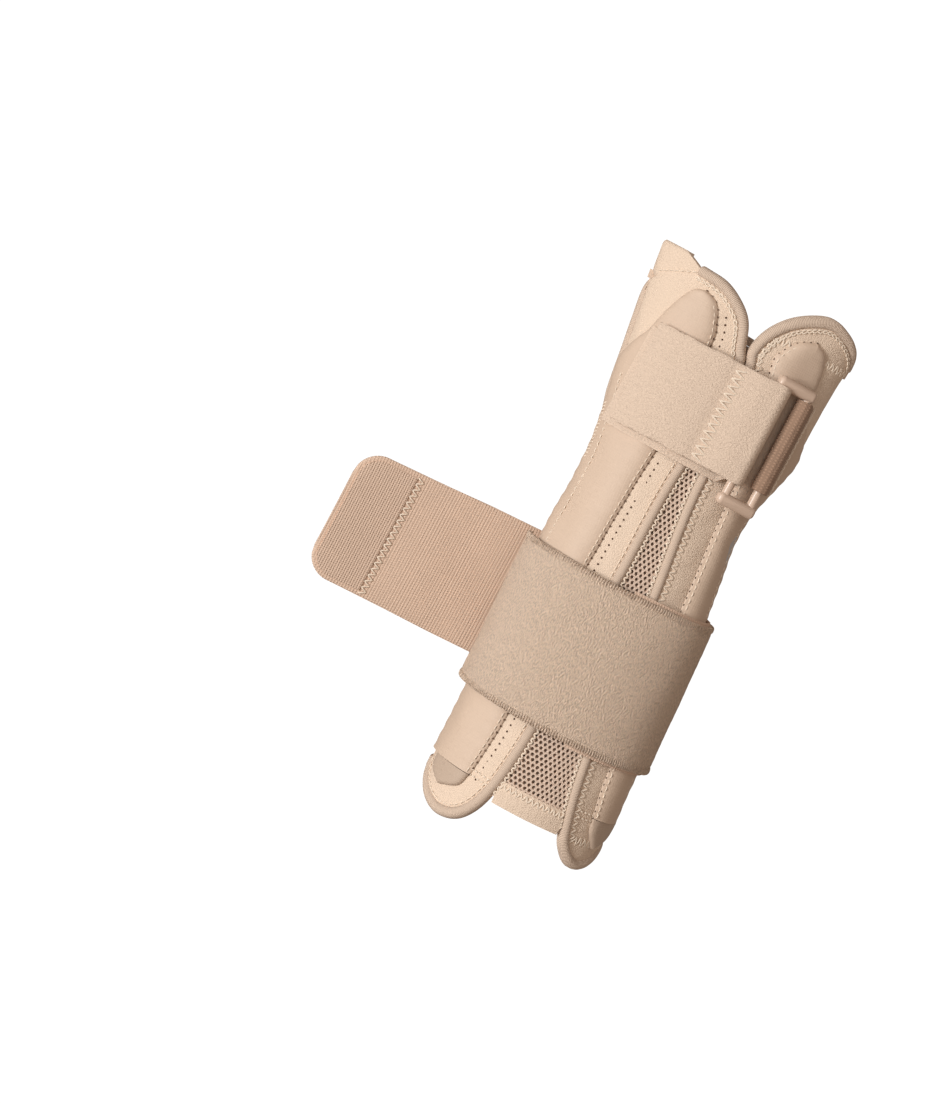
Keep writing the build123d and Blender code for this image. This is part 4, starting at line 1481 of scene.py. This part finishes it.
def needle_holes(name, paths, pitch, radius=0.42):
    """Small dark discs along layout paths: painted shade inside the needle holes."""
    verts, faces, start = [], [], 0
    round_ = np.arange(8) * np.pi / 4
    for path, lift in paths:
        at = evenly(path, pitch)
        s = at[:, :1] + np.cos(round_) * radius
        y = at[:, 1:] + np.sin(round_) * radius
        verts.append(place(s, y, lift + 0 * s).reshape(-1, 3))
        faces.append(start + np.arange(len(at) * 8).reshape(-1, 8))
        start += len(at) * 8
    thing = new_object(name, np.concatenate(verts), np.concatenate(faces), needle_dark())
    return fit_piece(thing, "sleeve", "suede")


def between(edges, y_from, y_to):
    """The stretch of a layout path between two lengths y."""
    keep = (edges[:, 1] >= min(y_from, y_to)) & (edges[:, 1] <= max(y_from, y_to))
    return edges[keep]


def edge_view(side, inside, y_from, y_to):
    """Layout path a little inside the widest line of one side."""
    ys = np.linspace(y_from, y_to, 40)
    shape = smooth_shape(ys)
    x = shape[:, 0] + side * (shape[:, 1] + LAYOUT_OFF - inside)
    return np.array(plan(*zip(x, ys)))


def stitching():
    """All seams of the sleeve."""
    pitch = sizes().stitch_pitch / MM
    thread = sizes().thread / MM
    radial_mesh, ulnar_mesh = radial_edges()[0], ulnar_edges()[0]
    radial_cover = flowing(plan(*POCKETS["radial"]["open_side"]), 240)
    ulnar_cover = flowing(plan(*POCKETS["ulnar"]["open_side"]), 240)
    cover_hem = moved(radial_cover, -1.1)
    ulnar_hem = moved(ulnar_cover, 1.1)
    border_in = moved(radial_cover, 3.1)
    piped_in = moved(radial_mesh, -4.4)
    ulnar_band = moved(ulnar_mesh, 4.9)
    light = [
        running(cover_hem, 4.75, pitch), running(ulnar_hem, 4.75, pitch),
        running(piped_in, 3.5, pitch), running(edge_view(-1, 3.4, -93, 62), 5.55, pitch),
        running(edge_view(1, 2.2, -86, 40), 5.55, pitch),
    ]
    made = [cord_object("running_stitches", light, thread, thread_stuff())]
    thick = [
        zigzag(between(ulnar_band, -100, 100), 3.35, 1.35, 3.4),
        zigzag(between(moved(radial_mesh, 0.9), -98, 82), 3.0, 1.1, 1.5),
        zigzag(between(moved(ulnar_mesh, -0.9), -98, 82), 3.0, 1.1, 1.5),
    ]
    for y, low, high in ((-95.5, -24.0, -13.5), (-93.4, -24.0, -13.5)):
        line = np.array(plan(*[(x, y) for x in np.linspace(low, high, 8)]))
        thick.append(running(line, 3.5, 1.9))
    for y in (-91.0, -88.6):
        line = np.array(plan(*[(x, y) for x in np.linspace(22.8, 29.5, 6)]))
        thick.append(running(line, 3.5, 1.9))
    left, right = wedge(np.array([-93.6]))
    hem = np.array([(s, -93.2) for s in np.linspace(left[0] + 1.4, right[0] - 1.4, 20)])
    thick.append(zigzag(hem, 3.3, 1.2, 2.4))
    made.append(cord_object("zigzag_stitches", thick, thread * 1.4, thread_stuff()))
    lobes = [chain(between(moved(radial_mesh, -4.6), 86, 112), 3.5, 2.2, 1.1),
             chain(between(moved(ulnar_mesh, 4.7), 88, 116), 3.5, 2.2, 1.1)]
    made.append(cord_object("chain_stitches", lobes, thread * 1.15, thread_stuff()))
    frill = [overlock(edge_view(-1, 0.4, 28, 50), 5.0, 1.35, -2.6)]
    made.append(cord_object("edge_overlock", frill, thread * 1.05, thread_stuff()))
    web = [running(np.array(plan((-46.5, 101.2), (-40, 104.6), (-33.4, 107.4))), 3.6, pitch)]
    made.append(cord_object("web_seam_stitches", web, thread, thread_stuff()))
    for thing in made:
        fit_piece(thing, "sleeve", "suede")
    made.append(needle_holes("needle_hole_rows", [
        (moved(radial_cover, -0.1), 4.0), (between(border_in, -98, 98), 3.42),
        (moved(ulnar_cover, 0.1), 4.0)], pitch))
    made.append(selvedges())
    return made


def selvedges():
    """Fine cross threads along both edges of the forearm band."""
    lines, ups = [], []
    for edge, inward in ((BAND_Y[0], 1), (BAND_Y[1], -1)):
        turns, girths = turns_round(edge, ((band_start(edge), -90), (-90, -118)), 420)
        at = np.interp(np.arange(1, girths[-1] - 1, 0.95), girths, turns)
        t = np.linspace(0, 1, 7)
        y = edge + inward * (-0.15 + 2.5 * t)
        off = 8.55 + 0.33 * np.sin(np.pi * np.clip(t * 0.9 + 0.1, 0, 1))
        line = section_point(at[:, None] + 0 * t, y[None, :] + 0 * at[:, None], off)
        lines.append(np.maximum(line, (-999, -999, 0.1)))
        beyond = section_point(at[:, None] + 0 * t, y[None, :] + 0 * at[:, None], off + 1)
        ups.append(beyond - line)
    thing = cord_object("forearm_band_selvedge", [(np.concatenate(lines), np.concatenate(ups))],
                        0.3, pile())
    return fit_piece(thing, "sleeve", "band")


# ---------------------------------------------------------------- stage

def stage():
    """Backdrop, light and camera."""
    scene = bpy.context.scene
    world = bpy.data.worlds.new("studio")
    world.use_nodes = True
    world.node_tree.nodes["Background"].inputs["Color"].default_value = (1.0, 0.80, 0.66, 1)
    world.node_tree.nodes["Background"].inputs["Strength"].default_value = 0.32
    scene.world = world
    scene.view_settings.view_transform = "Standard"
    data = bpy.data.meshes.new("backdrop")
    shape = bmesh.new()
    bmesh.ops.create_icosphere(shape, subdivisions=3, radius=5)
    shape.to_mesh(data)
    shape.free()
    glow = Nodes("backdrop_white")
    glow.shader.inputs["Base Color"].default_value = (0, 0, 0, 1)
    glow.shader.inputs["Emission Color"].default_value = (1, 1, 1, 1)
    glow.shader.inputs["Emission Strength"].default_value = 1.05
    data.materials.append(glow.material)
    floor = bpy.data.objects.new("backdrop", data)
    scene.collection.objects.link(floor)
    floor.visible_diffuse = floor.visible_glossy = floor.visible_shadow = False
    up = np.array([-0.467, 0.884, 0.0])
    right = np.array([0.884, 0.467, 0.0])
    middle = np.array([0.0, 0.02, 0.03])
    for name, away, size, power in (
            ("key", -1.0 * right + 0.55 * up + (0, 0, 1.25), 0.55, 24.0),
            ("top", 0.1 * right + 0.5 * up + (0, 0, 1.6), 1.0, 3.2)):
        lamp = bpy.data.lights.new(name, "AREA")
        lamp.size, lamp.energy = size, power
        thing = bpy.data.objects.new(name, lamp)
        thing.location = middle + away
        thing.rotation_euler = Vector(away).to_track_quat("Z", "Y").to_euler()
        scene.collection.objects.link(thing)
    camera = bpy.data.cameras.new("camera")
    camera.sensor_fit = "VERTICAL"
    camera.sensor_height = 36
    distance, seen = 1.2, 0.414
    camera.lens = 36 * distance / seen
    view = bpy.data.objects.new("camera", camera)
    aim = np.array([-0.0585, -0.0248 + REST_Y * MM, 0.03])
    lean = math.radians(7)
    away = math.cos(lean) * np.array([0, 0, 1.0]) + math.sin(lean) * up
    view.location = aim + away * distance
    back = Vector(away).normalized()
    across = Vector(right)
    above = back.cross(across)
    view.matrix_world = Matrix((
        (across.x, above.x, back.x, view.location.x),
        (across.y, above.y, back.y, view.location.y),
        (across.z, above.z, back.z, view.location.z),
        (0, 0, 0, 1)))
    scene.collection.objects.link(view)
    scene.camera = view


# ---------------------------------------------------------------- the add-on

class SPLINT_OT_back_panels(bpy.types.Operator):
    """Builds the two suede panels on the back of the hand and their bound edges"""

    bl_idname = "splint.back_panels"
    bl_label = "Back Panels"

    def execute(self, context):
        back_panels()
        return {"FINISHED"}


class SPLINT_OT_stay_pockets(bpy.types.Operator):
    """Builds the satin covers over the two back stays"""

    bl_idname = "splint.stay_pockets"
    bl_label = "Stay Pockets"

    def execute(self, context):
        stay_pockets()
        return {"FINISHED"}


class SPLINT_OT_mesh(bpy.types.Operator):
    """Builds the knitted mesh down the middle, a dark sheet of painted shade behind it and its hem"""

    bl_idname = "splint.mesh"
    bl_label = "Mesh"

    def execute(self, context):
        mesh_cells()
        return {"FINISHED"}


class SPLINT_OT_linings(bpy.types.Operator):
    """Builds the lining inside the back panels"""

    bl_idname = "splint.linings"
    bl_label = "Linings"

    def execute(self, context):
        linings()
        return {"FINISHED"}


class SPLINT_OT_palm_side(bpy.types.Operator):
    """Builds the palm panel, its hems, the thumb hole, the web strip and the palm pocket"""

    bl_idname = "splint.palm_side"
    bl_label = "Palm Side"

    def execute(self, context):
        palm_side()
        return {"FINISHED"}


class SPLINT_OT_stays(bpy.types.Operator):
    """Gives the three metal stays their finish"""

    bl_idname = "splint.stays"
    bl_label = "Stays"

    def execute(self, context):
        stays()
        return {"FINISHED"}


class SPLINT_OT_ring(bpy.types.Operator):
    """Builds the moulded ring and the elastic that holds it"""

    bl_idname = "splint.ring"
    bl_label = "Ring"

    def execute(self, context):
        moulded_ring()
        ring_elastic()
        return {"FINISHED"}


class SPLINT_OT_hand_strap(bpy.types.Operator):
    """Builds the hand strap with its fold round the ring's bar"""

    bl_idname = "splint.hand_strap"
    bl_label = "Hand Strap"

    def execute(self, context):
        hand_strap()
        return {"FINISHED"}


class SPLINT_OT_forearm_band(bpy.types.Operator):
    """Builds the wide band round the forearm and the layer below it"""

    bl_idname = "splint.forearm_band"
    bl_label = "Forearm Band"

    def execute(self, context):
        forearm_band()
        return {"FINISHED"}


class SPLINT_OT_free_strap(bpy.types.Operator):
    """Builds the forearm strap's pulled-out end with its hook tab"""

    bl_idname = "splint.free_strap"
    bl_label = "Free Strap"

    def execute(self, context):
        free_strap()
        return {"FINISHED"}


class SPLINT_OT_stitching(bpy.types.Operator):
    """Sews the seams with threads and needle holes"""

    bl_idname = "splint.stitching"
    bl_label = "Stitching"

    def execute(self, context):
        stitching()
        return {"FINISHED"}


class SPLINT_OT_stage(bpy.types.Operator):
    """Sets the backdrop, the lights and the camera"""

    bl_idname = "splint.stage"
    bl_label = "Stage"

    def execute(self, context):
        stage()
        return {"FINISHED"}


OPERATORS = (
    SPLINT_OT_back_panels,
    SPLINT_OT_stay_pockets,
    SPLINT_OT_mesh,
    SPLINT_OT_linings,
    SPLINT_OT_palm_side,
    SPLINT_OT_stays,
    SPLINT_OT_ring,
    SPLINT_OT_hand_strap,
    SPLINT_OT_forearm_band,
    SPLINT_OT_free_strap,
    SPLINT_OT_stitching,
    SPLINT_OT_stage,
)


class SPLINT_PT_panel(bpy.types.Panel):
    """Lists the splint's sizes, colours and building steps."""

    bl_label = "Wrist Splint"
    bl_idname = "SPLINT_PT_panel"
    bl_space_type = "VIEW_3D"
    bl_region_type = "UI"
    bl_category = "Splint"

    def draw(self, context):
        for group in (context.scene.splint_sizes, context.scene.splint_colours):
            for name in group.__annotations__:
                self.layout.prop(group, name)
        for operator in OPERATORS:
            self.layout.operator(operator.bl_idname)


CLASSES = (SplintSizes, SplintColours, *OPERATORS, SPLINT_PT_panel)


def register():
    """Makes the classes and the settings known to Blender."""
    for each in CLASSES:
        bpy.utils.register_class(each)
    bpy.types.Scene.splint_sizes = PointerProperty(type=SplintSizes)
    bpy.types.Scene.splint_colours = PointerProperty(type=SplintColours)


def unregister():
    """Takes the classes and the settings away again."""
    del bpy.types.Scene.splint_colours
    del bpy.types.Scene.splint_sizes
    for each in reversed(CLASSES):
        bpy.utils.unregister_class(each)


def main():
    """Builds the splint."""
    register()
    for operator in OPERATORS:
        getattr(bpy.ops.splint, operator.bl_idname.split(".")[1])()


if __name__ == "__main__":
    main()
